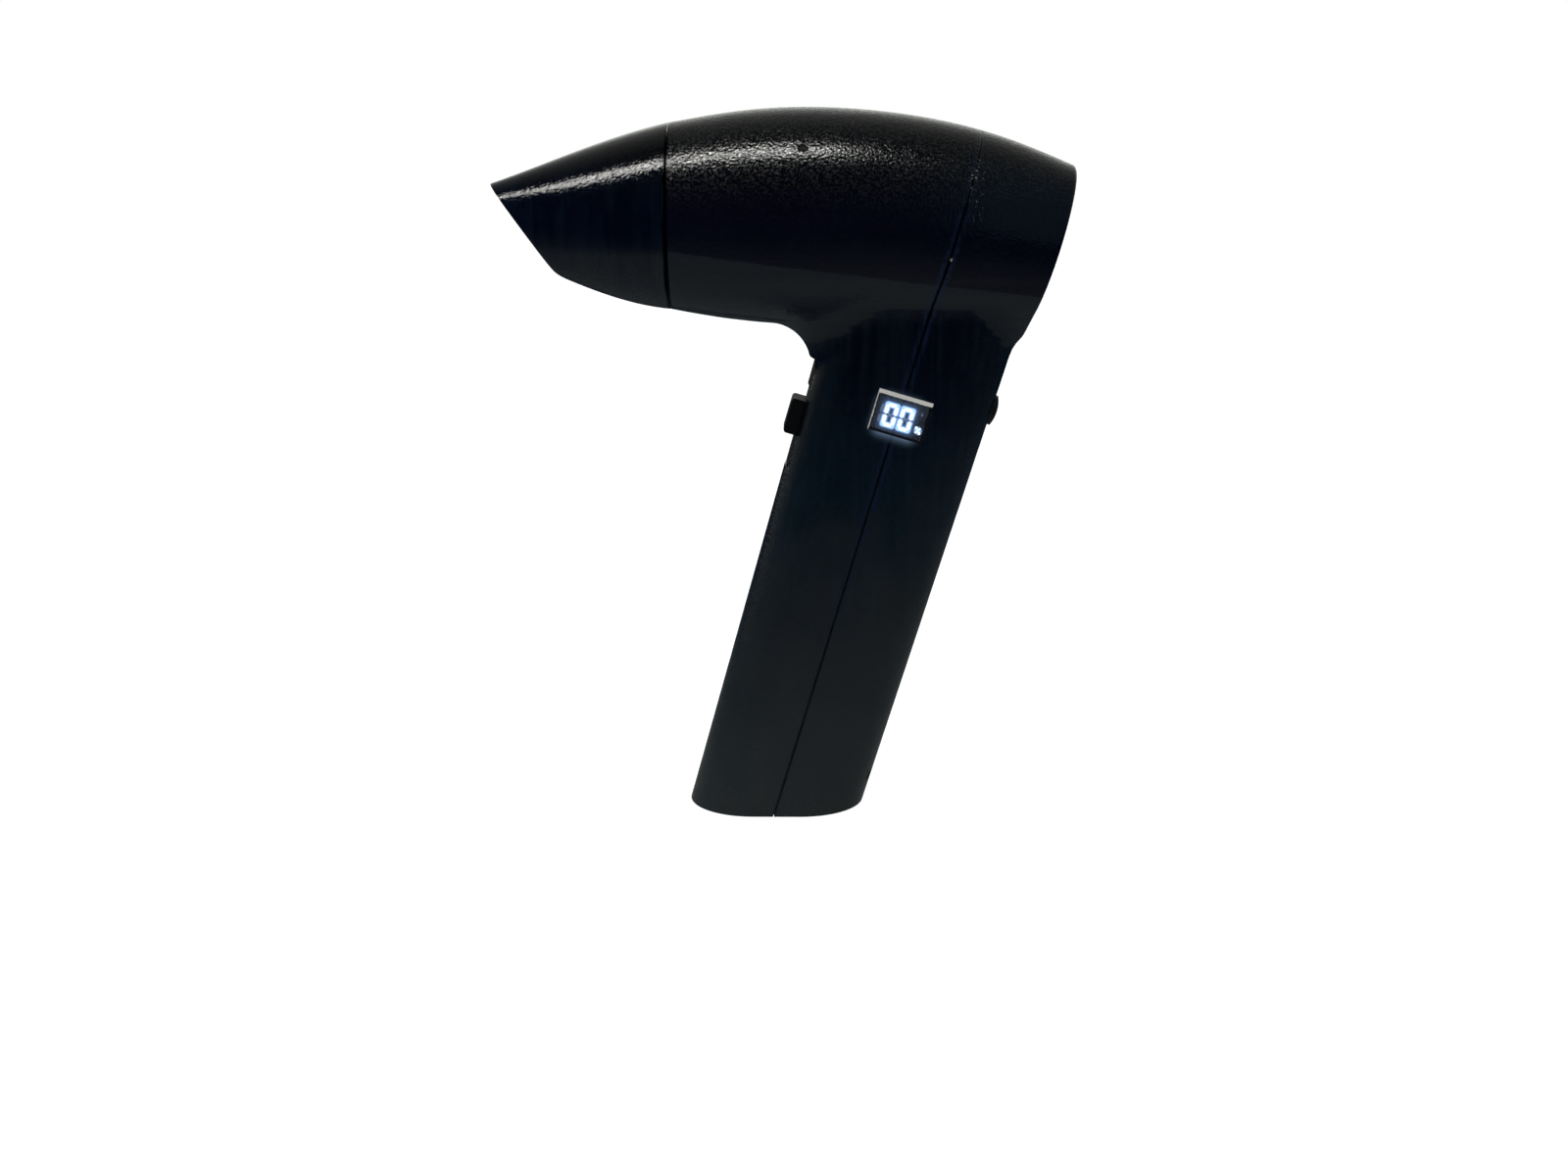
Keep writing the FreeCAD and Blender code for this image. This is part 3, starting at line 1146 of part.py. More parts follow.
def motor_leads():
    """Three wires from the board's top, forward under the shroud, and up to its wall below the vanes."""
    under_radius = SHROUD_RADIUS + INLET_LIP_FLARE + LEAD_RADIUS + FIXED_GAP
    wall_radius = SHROUD_RADIUS + FIXED_GAP
    wires = []
    for index in range(TRANSISTORS):
        y = BOARD_Y - LEAD_RADIUS - LEAD_GAP - index * LEAD_PITCH
        t = transistor_t(index) + TRANSISTOR_WIDTH / 2
        low = HANDLE_ROTATION.multVec(Vector(t, 0, BOARD_TOP_S - TRANSISTOR_TOP_INSET + FIXED_GAP))
        rise = HANDLE_ROTATION.multVec(Vector(t, 0, BOARD_TOP_S + MOTOR_LEAD_RISE - index))
        height = BARREL_AXIS_Z - math.sqrt(under_radius ** 2 - y ** 2)
        end_x = VANE_BACK_X - VANE_BULGE - (index + 1) * LEAD_PITCH
        end_z = BARREL_AXIS_Z - math.sqrt(wall_radius ** 2 - y ** 2)
        route = [Vector(low.x, y, low.z), Vector(rise.x, y, rise.z),
                 Vector(rise.x - MOTOR_LEAD_RISE, y, height), Vector(end_x, y, height),
                 Vector(end_x, y, end_z)]
        wires.append(wire_along(route, LEAD_RADIUS, [LEAD_BEND, LEAD_BEND, LEAD_RADIUS + LEAD_GAP]))
    return group(wires)


# Trigger

def lever_face_t():
    """Front face of the lever at its foot."""
    return TRIGGER_INSET - front_reach(SLOT_FOOT)


def lever_back_t():
    return lever_face_t() + TRIGGER_DEPTH


def trigger_side():
    """Side outline of the trigger in the handle frame, without the finger pad."""
    top = SLOT_TOP - SLIDE_CLEARANCE
    foot = SLOT_FOOT + TRIGGER_FOOT_GAP
    notch_foot = FINGER_FOOT + FINGER_HEIGHT
    notch_top = notch_foot + NOTCH_HEIGHT
    face = TRIGGER_INSET - FRONT_REACH_TOP
    back = lever_back_t()
    step_top = foot + TRIGGER_STEP_HEIGHT
    points = [(face, top), (face, notch_top), (face + NOTCH_DEPTH, notch_top - NOTCH_SLOPE),
              (face + NOTCH_DEPTH, notch_foot), (TRIGGER_INSET - front_reach(notch_foot), notch_foot),
              (lever_face_t(), foot), (back + TRIGGER_STEP, foot), (back + TRIGGER_STEP, step_top),
              (back, step_top + 2 * TRIGGER_STEP), (back, top)]
    corners = [Vector(t, 0, s) for t, s in points]
    return Part.Face(Part.makePolygon(corners + corners[:1]))


def trigger():
    """Lever with a raised finger pad, hung on its pin at the top and hooked behind the wall at its foot."""
    half = SLOT_WIDTH / 2 - SLIDE_CLEARANCE
    face = trigger_side()
    face.translate(Vector(0, -half, 0))
    lever = leaned(face.extrude(Vector(0, 2 * half, 0))).common(handle_volume(TRIGGER_INSET))
    boss = leaned(rod_y(TRIGGER_BOSS_RADIUS, -half, half, pivot_t(), PIVOT_S))
    lever = fused([lever, boss, finger_pad(), trigger_hook(half)])
    hole = rod_y(TRIGGER_PIN_RADIUS + RUN_CLEARANCE, -SLOT_WIDTH, SLOT_WIDTH, pivot_t(), PIVOT_S)
    return lever.cut(leaned(hole))


def finger_pad():
    """Raised block under the finger, rounded on its front face."""
    outer = -front_reach(FINGER_FOOT + FINGER_HEIGHT / 2) - FINGER_PROUD
    half = FINGER_WIDTH / 2
    pad = box(outer, outer + FINGER_PROUD + FINGER_ROOT, -half, half, FINGER_FOOT,
              FINGER_FOOT + FINGER_HEIGHT)
    return leaned(pad.makeFillet(FINGER_ROUND, edges_at_x(pad, outer)))


def edges_at_x(shape, x):
    return [edge for edge in shape.Edges if all(abs(vertex.Point.x - x) < TOUCH for vertex in edge.Vertexes)]


def trigger_hook(half):
    """Tab at the lever's foot that rests behind the housing wall."""
    foot = SLOT_FOOT + TRIGGER_FOOT_GAP
    tab = box(-FRONT_REACH_TOP, lever_back_t() + TRIGGER_STEP, -half, half, foot - TRIGGER_HOOK,
              foot + OVERRUN)
    return leaned(tab).common(handle_volume(WALL + SLIDE_CLEARANCE))


def pin_half():
    return SLOT_WIDTH / 2 + SLIDE_CLEARANCE + EAR_THICKNESS


def trigger_pin():
    return leaned(rod_y(TRIGGER_PIN_RADIUS, -pin_half(), pin_half(), pivot_t(), PIVOT_S))


def trigger_switch():
    """Small snap switch on the cross wall, with a bore for its plunger."""
    front = WEB_T - SWITCH_DEPTH
    body = box(front, WEB_T, -SWITCH_WIDTH / 2, SWITCH_WIDTH / 2, SLOT_FOOT, SLOT_FOOT + SWITCH_HEIGHT)
    body = body.cut(rod_x(PLUNGER_RADIUS + RUN_CLEARANCE, front - OVERRUN, WEB_T - SWITCH_BACK, 0, PLUNGER_S))
    for s in (SLOT_FOOT + SWITCH_PIN_INSET, SLOT_FOOT + SWITCH_HEIGHT - SWITCH_PIN_INSET):
        body = body.cut(rod_y(SWITCH_PIN_HOLE, -SWITCH_WIDTH, SWITCH_WIDTH, WEB_T - 2 * SWITCH_PIN_HOLE, s))
    return leaned(body)


def switch_plunger():
    start = lever_back_t() + TRIGGER_STEP + PLUNGER_REST_GAP
    return leaned(rod_x(PLUNGER_RADIUS, start, WEB_T - SWITCH_BACK - PLUNGER_TRAVEL, 0, PLUNGER_S))


def trigger_spring():
    """Coil spring between the trigger's back and the cross wall."""
    start = lever_back_t() + SPRING_END_GAP + SPRING_WIRE / 2
    length = WEB_T - SPRING_END_GAP - SPRING_WIRE / 2 - start
    radius = SPRING_COIL_RADIUS - SPRING_WIRE / 2
    helix = Part.makeHelix(length / SPRING_TURNS, length, radius)
    ring = Part.Circle(Vector(radius, 0, 0), Vector(0, 1, 0), SPRING_WIRE / 2)
    coil = Part.Wire(helix.Edges).makePipeShell([Part.Wire([ring.toShape()])], True, True)
    coil.rotate(Vector(0, 0, 0), Vector(0, 1, 0), 90)
    coil.translate(Vector(start, 0, SPRING_S))
    return leaned(coil)


# Power button

def button_flange_t():
    """Outer face of the flange, just inside the curved back wall."""
    radius = HALF_WIDTH - WALL
    centre = back_reach(BUTTON_S) - HALF_WIDTH
    return centre + math.sqrt(radius ** 2 - BUTTON_FLANGE_RADIUS ** 2) - BUTTON_WALL_GAP


def button_stem_end():
    return button_flange_t() - BUTTON_FLANGE - BUTTON_STEM


def power_button():
    """Domed cap with a flange behind the wall and a stem to the switch."""
    outer = back_reach(BUTTON_S) + BUTTON_PROUD
    rim = outer - BUTTON_DOME
    flange = button_flange_t()
    inner = flange - BUTTON_FLANGE
    stem = button_stem_end()
    points = [Vector(outer, 0, 0), Vector(stem, 0, 0), Vector(stem, 0, BUTTON_STEM_RADIUS),
              Vector(inner, 0, BUTTON_STEM_RADIUS), Vector(inner, 0, BUTTON_FLANGE_RADIUS),
              Vector(flange, 0, BUTTON_FLANGE_RADIUS), Vector(flange, 0, BUTTON_RADIUS),
              Vector(rim, 0, BUTTON_RADIUS)]
    edges = [dome_arc(rim, outer, BUTTON_RADIUS)]
    for first, last in zip(points, points[1:]):
        edges.append(Part.makeLine(first, last))
    cap = Part.Face(Part.Wire(edges)).revolve(Vector(0, 0, 0), Vector(1, 0, 0), 360)
    cap.translate(Vector(0, 0, BUTTON_S))
    return leaned(cap)


def tact_face_t():
    return button_stem_end() - TACT_ACTUATOR_REACH


def button_plunger():
    start = tact_face_t() - TACT_ACTUATOR_DEPTH
    return leaned(rod_x(TACT_ACTUATOR_RADIUS, start, button_stem_end(), 0, BUTTON_S))


def button_switch():
    """Square push switch on its small board."""
    half = TACT_SIZE / 2
    face = tact_face_t()
    body = box(face - TACT_HEIGHT, face, -half, half, BUTTON_S - half, BUTTON_S + half)
    bore_end = face - TACT_ACTUATOR_DEPTH - BUTTON_TRAVEL - FIXED_GAP
    bore = rod_x(TACT_ACTUATOR_RADIUS + RUN_CLEARANCE, bore_end, face + OVERRUN, 0, BUTTON_S)
    return leaned(body.cut(bore))


def button_board():
    """Small board that slides into the rear half's side walls and carries the push switch."""
    face = tact_face_t() - TACT_HEIGHT
    board = box(face - BUTTON_BOARD_THICKNESS, face, -HALF_WIDTH, HALF_WIDTH, BUTTON_S - BUTTON_BOARD_HALF,
                BUTTON_S + BUTTON_BOARD_HALF)
    return leaned(board).common(handle_volume(WALL + SEAT_CLEARANCE))


# Display

def display_box(margin_t, margin_s, y0, y1, top_margin):
    half_w = DISPLAY_WIDTH / 2
    half_h = DISPLAY_HEIGHT / 2
    return box(DISPLAY_T - half_w + margin_t, DISPLAY_T + half_w - margin_t, y0, y1,
               DISPLAY_S - half_h + margin_s, DISPLAY_S + half_h - top_margin)


def window_box(gap, y0, y1):
    """Fills the rim's window, smaller by a gap all round."""
    return display_box(DISPLAY_RIM + gap, DISPLAY_RIM + gap, y0, y1, DISPLAY_RIM_TOP + gap)


def plain_box(margin, y0, y1):
    return display_box(margin, margin, y0, y1, margin)


def display_face_y():
    return -HALF_WIDTH - DISPLAY_PROUD


def display_back_y():
    """Near face of the flange, against the inside of the wall."""
    return -HALF_WIDTH + WALL + FIXED_GAP


def lens_y():
    return display_face_y() + LENS_DEPTH


def segment_face_y():
    """Near face of the lit segments."""
    return lens_y() + LENS_THICKNESS + SEAT_CLEARANCE


def panel_face_y():
    return segment_face_y() + SEGMENT_THICKNESS


def display_frame():
    """Rim with a deep upper bar, and a flange behind the wall."""
    back = display_back_y()
    rim = plain_box(0, display_face_y(), back + TOUCH)
    flange = plain_box(-DISPLAY_FLANGE, back, back + DISPLAY_FLANGE_THICKNESS)
    window = window_box(0, display_face_y() - OVERRUN, back + DISPLAY_FLANGE_THICKNESS + OVERRUN)
    return leaned(fused([rim, flange]).cut(window))


def display_lens():
    return leaned(window_box(LENS_GAP, lens_y(), lens_y() + LENS_THICKNESS))


def display_panel():
    """Dark light-guide block behind the lens."""
    return leaned(window_box(LENS_GAP, panel_face_y(), display_back_y() + DISPLAY_FLANGE_THICKNESS))


def display_board():
    y0 = display_back_y() + DISPLAY_FLANGE_THICKNESS
    return leaned(plain_box(DISPLAY_BOARD_INSET - DISPLAY_FLANGE, y0, y0 + DISPLAY_BOARD_THICKNESS))


def light_bar(t0, t1, s0, s1):
    """A segment with pointed ends, lying on the panel's face."""
    half = SEGMENT / 2
    if t1 - t0 > s1 - s0:
        middle = (s0 + s1) / 2
        outline = [(t0, middle), (t0 + half, s0), (t1 - half, s0), (t1, middle), (t1 - half, s1),
                   (t0 + half, s1)]
    else:
        middle = (t0 + t1) / 2
        outline = [(middle, s0), (t1, s0 + half), (t1, s1 - half), (middle, s1), (t0, s1 - half),
                   (t0, s0 + half)]
    corners = [Vector(t, segment_face_y(), s) for t, s in outline]
    return Part.Face(Part.makePolygon(corners + corners[:1])).extrude(Vector(0, SEGMENT_THICKNESS, 0))


def middle_segment(centre_t, centre_s):
    reach = (DIGIT_WIDTH - SEGMENT) / 2 - SEGMENT_GAP
    return light_bar(centre_t - reach, centre_t + reach, centre_s - SEGMENT / 2, centre_s + SEGMENT / 2)


def outer_segments(centre_t, centre_s):
    """The six outer segments of one digit."""
    side = (DIGIT_WIDTH - SEGMENT) / 2
    high = (DIGIT_HEIGHT - SEGMENT) / 2
    segments = [middle_segment(centre_t, centre_s - high), middle_segment(centre_t, centre_s + high)]
    for t in (centre_t - side, centre_t + side):
        for s0, s1 in ((SEGMENT_GAP - high, -SEGMENT_GAP), (SEGMENT_GAP, high - SEGMENT_GAP)):
            segments.append(light_bar(t - SEGMENT / 2, t + SEGMENT / 2, centre_s + s0, centre_s + s1))
    return segments


def digit_places():
    first = DISPLAY_T - DIGITS_LEFT
    height = DISPLAY_S - DIGITS_LOW
    return [(first, height), (first + DIGIT_PITCH, height)]


def display_digits():
    """The lit segments, with the percent sign's two dots and stroke."""
    lit = []
    for t, s in digit_places():
        lit.extend(outer_segments(t, s))
    last_t, last_s = digit_places()[1]
    sign_t = last_t + SIGN_PITCH
    sign_s = last_s - DIGIT_HEIGHT / 2 + 2 * SIGN_DOT_S
    for side in (-1, 1):
        lit.append(rod_y(SIGN_DOT_RADIUS, segment_face_y(), panel_face_y(), sign_t + side * SIGN_DOT_T,
                         sign_s - side * SIGN_DOT_S))
    stroke = box(-SIGN_STROKE / 2, SIGN_STROKE / 2, segment_face_y(), panel_face_y(), -SIGN_HEIGHT / 2,
                 SIGN_HEIGHT / 2)
    stroke.rotate(Vector(0, 0, 0), Vector(0, 1, 0), SIGN_LEAN)
    stroke.translate(Vector(sign_t, 0, sign_s))
    lit.append(stroke)
    return leaned(group(lit))


def display_dim_segments():
    """Unlit segments: the middle bars and the leading pair."""
    dim = [middle_segment(t, s) for t, s in digit_places()]
    first_t, centre_s = digit_places()[0]
    right = first_t - DIGIT_WIDTH / 2 - LEAD_BAR_GAP
    high = (DIGIT_HEIGHT - SEGMENT) / 2
    for low_s, high_s in ((SEGMENT_GAP - high, -SEGMENT_GAP), (SEGMENT_GAP, high - SEGMENT_GAP)):
        dim.append(light_bar(right - LEAD_BAR_WIDTH, right, centre_s + low_s, centre_s + high_s))
    return leaned(group(dim))


# Charging inlet

def usb_socket():
    """Flat metal shell with a tongue inside, open at the base."""
    half = INLET_WIDTH / 2
    depth = INLET_THICKNESS / 2
    end = INLET_FOOT_S + INLET_DEPTH
    shell = box(INLET_T - depth, INLET_T + depth, -half, half, INLET_FOOT_S, end)
    shell = shell.makeFillet(depth * INLET_CORNER, upright_edges(shell))
    inner_half = half - SOCKET_WALL
    inner_depth = depth - SOCKET_WALL
    cavity = box(INLET_T - inner_depth, INLET_T + inner_depth, -inner_half, inner_half,
                 INLET_FOOT_S - OVERRUN, end - SOCKET_BACK)
    cavity = cavity.makeFillet(inner_depth * INLET_CORNER, upright_edges(cavity))
    blade_half = half - SOCKET_BLADE_INSET
    blade = box(INLET_T - SOCKET_WALL, INLET_T + SOCKET_WALL, -blade_half, blade_half,
                INLET_FOOT_S + SOCKET_BLADE_RECESS, end - SOCKET_BACK / 2)
    return leaned(shell.cut(cavity).fuse(blade))


def charge_board():
    """Board across the handle on top of the socket, with a coil below it."""
    foot = INLET_FOOT_S + INLET_DEPTH
    half = CHARGE_BOARD_WIDTH / 2
    board = box(CHARGE_BOARD_FRONT_T, CHARGE_BOARD_BACK_T, -half, half, foot, foot + BOARD_THICKNESS)
    front = CHARGE_BOARD_FRONT_T + CHARGE_COIL_INSET
    coil = box(front, front + CHARGE_COIL_SIZE, -CHARGE_COIL_SIZE / 2, CHARGE_COIL_SIZE / 2,
               foot - CHARGE_COIL_HEIGHT, foot)
    return leaned(board.fuse(coil))


# Housing screws

def housing_screws():
    head_end = SCREW_SEAT_T + SCREW_HEAD_HEIGHT
    screws = []
    for y, s in screw_places():
        shank = rod_x(SCREW_RADIUS, SCREW_SEAT_T - SCREW_LENGTH, SCREW_SEAT_T, y, s)
        head = rod_x(SCREW_HEAD_RADIUS, SCREW_SEAT_T, head_end, y, s)
        drive = rod_x(SCREW_DRIVE_RADIUS, head_end - SCREW_DRIVE_DEPTH, head_end + OVERRUN, y, s)
        screws.append(shank.fuse(head).cut(drive))
    return leaned(group(screws))


def build():
    body = outer_volume().cut(hollow(WALL))
    return {
        "nozzle": nozzle(),
        "front_housing": front_half(body),
        "rear_housing": rear_half(body),
        "intake_grille": intake_grille(),
        "fan_shroud": fan_shroud(),
        "impeller": impeller(),
        "impeller_nut": impeller_nut(),
        "spinner": spinner(),
        "tail_cone": tail_cone(),
        "motor_case": motor_case(),
        "motor_end_cap": motor_end_cap(),
        "motor_stator": motor_stator(),
        "motor_windings": motor_windings(),
        "motor_magnet": motor_magnet(),
        "motor_shaft": motor_shaft(),
        "front_bearing": bearing(MOTOR_FRONT_X),
        "rear_bearing": bearing(MOTOR_BACK_X - BEARING_WIDTH),
        "motor_screws": motor_screws(),
        "motor_leads": motor_leads(),
        "battery_cell_front": battery_cell(-1),
        "battery_cell_rear": battery_cell(1),
        "battery_holder": battery_holder(),
        "battery_contacts": battery_contacts(),
        "battery_leads": battery_leads(),
        "control_board": control_board(),
        "board_chips": board_chips(),
        "board_capacitor": board_capacitor(),
        "board_screws": board_screws(),
        "trigger": trigger(),
        "trigger_pin": trigger_pin(),
        "trigger_spring": trigger_spring(),
        "trigger_switch": trigger_switch(),
        "switch_plunger": switch_plunger(),
        "power_button": power_button(),
        "button_plunger": button_plunger(),
        "button_switch": button_switch(),
        "button_board": button_board(),
        "display_frame": display_frame(),
        "display_lens": display_lens(),
        "display_panel": display_panel(),
        "display_board": display_board(),
        "display_digits": display_digits(),
        "display_dim_segments": display_dim_segments(),
        "usb_socket": usb_socket(),
        "charge_board": charge_board(),
        "housing_screws": housing_screws(),
    }


os.makedirs("parts", exist_ok=True)
for name, shape in build().items():
    shape.exportStep(os.path.join("parts", name + ".step"))
    print(name, "solids", len(shape.Solids), "valid", shape.isValid(), "volume", round(shape.Volume, 1))
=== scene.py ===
import json
import math

import bpy
from mathutils import Euler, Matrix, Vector

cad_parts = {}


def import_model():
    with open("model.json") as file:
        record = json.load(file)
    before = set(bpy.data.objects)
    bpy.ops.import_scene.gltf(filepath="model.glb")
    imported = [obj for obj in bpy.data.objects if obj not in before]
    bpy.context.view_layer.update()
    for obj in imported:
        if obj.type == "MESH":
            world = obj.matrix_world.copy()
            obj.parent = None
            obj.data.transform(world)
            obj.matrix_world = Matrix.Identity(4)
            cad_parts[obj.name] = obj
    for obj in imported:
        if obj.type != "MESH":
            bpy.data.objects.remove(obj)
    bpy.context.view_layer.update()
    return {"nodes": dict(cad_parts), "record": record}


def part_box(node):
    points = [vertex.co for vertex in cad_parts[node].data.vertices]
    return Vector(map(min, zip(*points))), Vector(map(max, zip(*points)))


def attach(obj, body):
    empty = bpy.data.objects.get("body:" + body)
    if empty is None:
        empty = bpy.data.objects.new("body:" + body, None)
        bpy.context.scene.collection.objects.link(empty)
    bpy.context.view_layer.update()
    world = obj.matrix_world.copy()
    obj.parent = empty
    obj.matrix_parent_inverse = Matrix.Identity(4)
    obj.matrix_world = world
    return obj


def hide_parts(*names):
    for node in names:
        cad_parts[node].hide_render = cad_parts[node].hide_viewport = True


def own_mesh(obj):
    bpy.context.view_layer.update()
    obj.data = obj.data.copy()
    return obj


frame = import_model()

# A cordless hand-held air blower: printed and painted shells, a smoother nozzle, a lit display.
# Metres, +Z up. The nozzle points along -X and the display is on the -Y side.
# The handle leans backwards by LEAN: t runs backwards across it and s upwards along it.

NODES = frame["nodes"]
MM = 0.001

# Camera, as found from the photograph's outline
CAMERA_PLACE = Vector((0.00725, -0.560, 0.2019))
CAMERA_AZIMUTH = math.radians(-0.566)
CAMERA_ELEVATION = math.radians(-14.13)
SENSOR_WIDTH = 36.0
FOCAL_PIXELS = 2128
IMAGE_WIDTH = 1600

# Floor and light
ROOM_WHITE = 0.75            # strength of the white world, which reflections don't show
FLOOR_HALF = 4.0
FLOOR_DROP = 0.05 * MM       # how far the floor lies under the foot
FLOOR_WHITE = 1.3            # strength of the floor's own white
FLOOR_WHITE_SHARE = 0.7      # share of that white in what the camera sees, the rest being lit
OVERHEAD_PLACE = (-0.46, -0.22, 1.0)
OVERHEAD_TARGET = (-0.46, 0.0, 0.15)
OVERHEAD_SIZE = (1.10, 0.05)
OVERHEAD_POWER = 6.5
OVERHEAD_TINT = (1.0, 0.99, 0.95)

# Handle and barrel
LEAN = math.radians(16.4)
DOME_HEIGHT = 139.5 * MM     # where the handle's painted reflection ends under the barrel
DOME_FRONT = (8.0 * MM, 30.0 * MM)      # X between which that border rises
DOME_REAR = (50.0 * MM, 62.0 * MM)      # X between which it falls again
DOME_FALL = 10.0 * MM
LINE_HEIGHT = 151.8 * MM     # of the faint line along the barrel, at X = 0
LINE_FALL = 0.126            # how fast it falls towards the rear
RIDGE_HEIGHT = 136.2 * MM    # of the thin ridge on the barrel's underside, at X = 0
RIDGE_FALL = -0.01           # what its own fall adds to the line's
LAYER_SLOPE = math.radians(-5.0)

# Joints between the shells
SPLIT_T = -1.0 * MM          # between the front and the rear shell
SEAM_X = -28.3 * MM          # front end of the barrel, against the nozzle
SEAM_REACH = 0.6 * MM        # of the dark line on the barrel's side of that seam
SEAM_TOP = (170.0 * MM, 174.0 * MM)     # Z between which the seam's relief ends
SEAM_RELIEF = 0.8
STRIP_HALF_WIDTH = 16.2 * MM
STRIP_HALF_GAP = 0.13 * MM
STRIP_REACH = (0.1 * MM, 2.6 * MM)

# Wear and grit of the paint
GRIT_DEPTH = 0.11 * MM
PIT_PLACE = (0.0068, -0.0214, 0.1809)
PIT_HALVES = (0.0016, 0.0012, 0.0012)
CHIPS_FOOT = (177.0 * MM, 180.0 * MM)   # s between which the chips along the split begin
CHIPS_TOP = (184.5 * MM, 185.5 * MM)    # s between which they end
LONE_CHIP = (SPLIT_T + 0.3 * MM, 159.7 * MM)
SCRATCHES = (SPLIT_T + 3.0 * MM, 177.0 * MM)
WORN_SIDE = (-7.0 * MM, -11.0 * MM)     # Y between which the wear begins

# Trigger and small moulded pieces
SLOT_EDGE_Y = 5.6 * MM       # sides of the trigger's slot
SLOT_MIDDLE_S = 107.9 * MM
SLOT_HALF = 15.0 * MM
SLOT_DEPTH = (-18.0 * MM, -14.0 * MM)   # t between which the slot's dark edges end
EDGE_ROUND = 0.15 * MM       # soft edges on moulded pieces

# Display
FLANGE = 1.0 * MM            # how far the display's rim reaches behind the wall, all round
DIGIT_CENTRES = ((-3.0 * MM, 115.8 * MM), (1.3 * MM, 115.8 * MM))
DIGIT_HALF_WIDTH = 1.275 * MM
DIGIT_HALF_HEIGHT = 2.675 * MM
SIGN_CENTRE = (5.2 * MM, 113.9 * MM)
BOLT_CENTRE = (5.1 * MM, 118.2 * MM)
BOLT_HALF = 0.75 * MM
BOLT_THICKNESS = 0.05 * MM
BOLT_OUTLINE = ((0.25, 1.0), (-0.55, -0.10), (-0.05, -0.10),
                (-0.25, -1.0), (0.55, 0.10), (0.05, 0.10))     # in halves of its height
GLOW_REACH = 6.5 * MM        # how far the digits' glow spills over the paint
GLOW_SIDE = (-10.0 * MM, -13.0 * MM)    # Y between which that glow begins


def leaned(t, y, s):
    """A point of the handle's frame in the object's frame."""
    return Vector((t * math.cos(LEAN) + s * math.sin(LEAN), y,
                   s * math.cos(LEAN) - t * math.sin(LEAN)))


def colour(red, green, blue):
    return (red, green, blue, 1.0)


def grey(level):
    return (level, level, level, 1.0)


# Painted reflection: the tops of the barrel and the nozzle are made greyer, as where they reflect
# the pale room
PAINTED_TOP_SHEEN = colour(0.0010, 0.0013, 0.0018)
# Painted shade along the seam between the nozzle and the barrel, beside its real gap
SEAM_SHADE = colour(0.0001, 0.0002, 0.0006)


# Node helpers


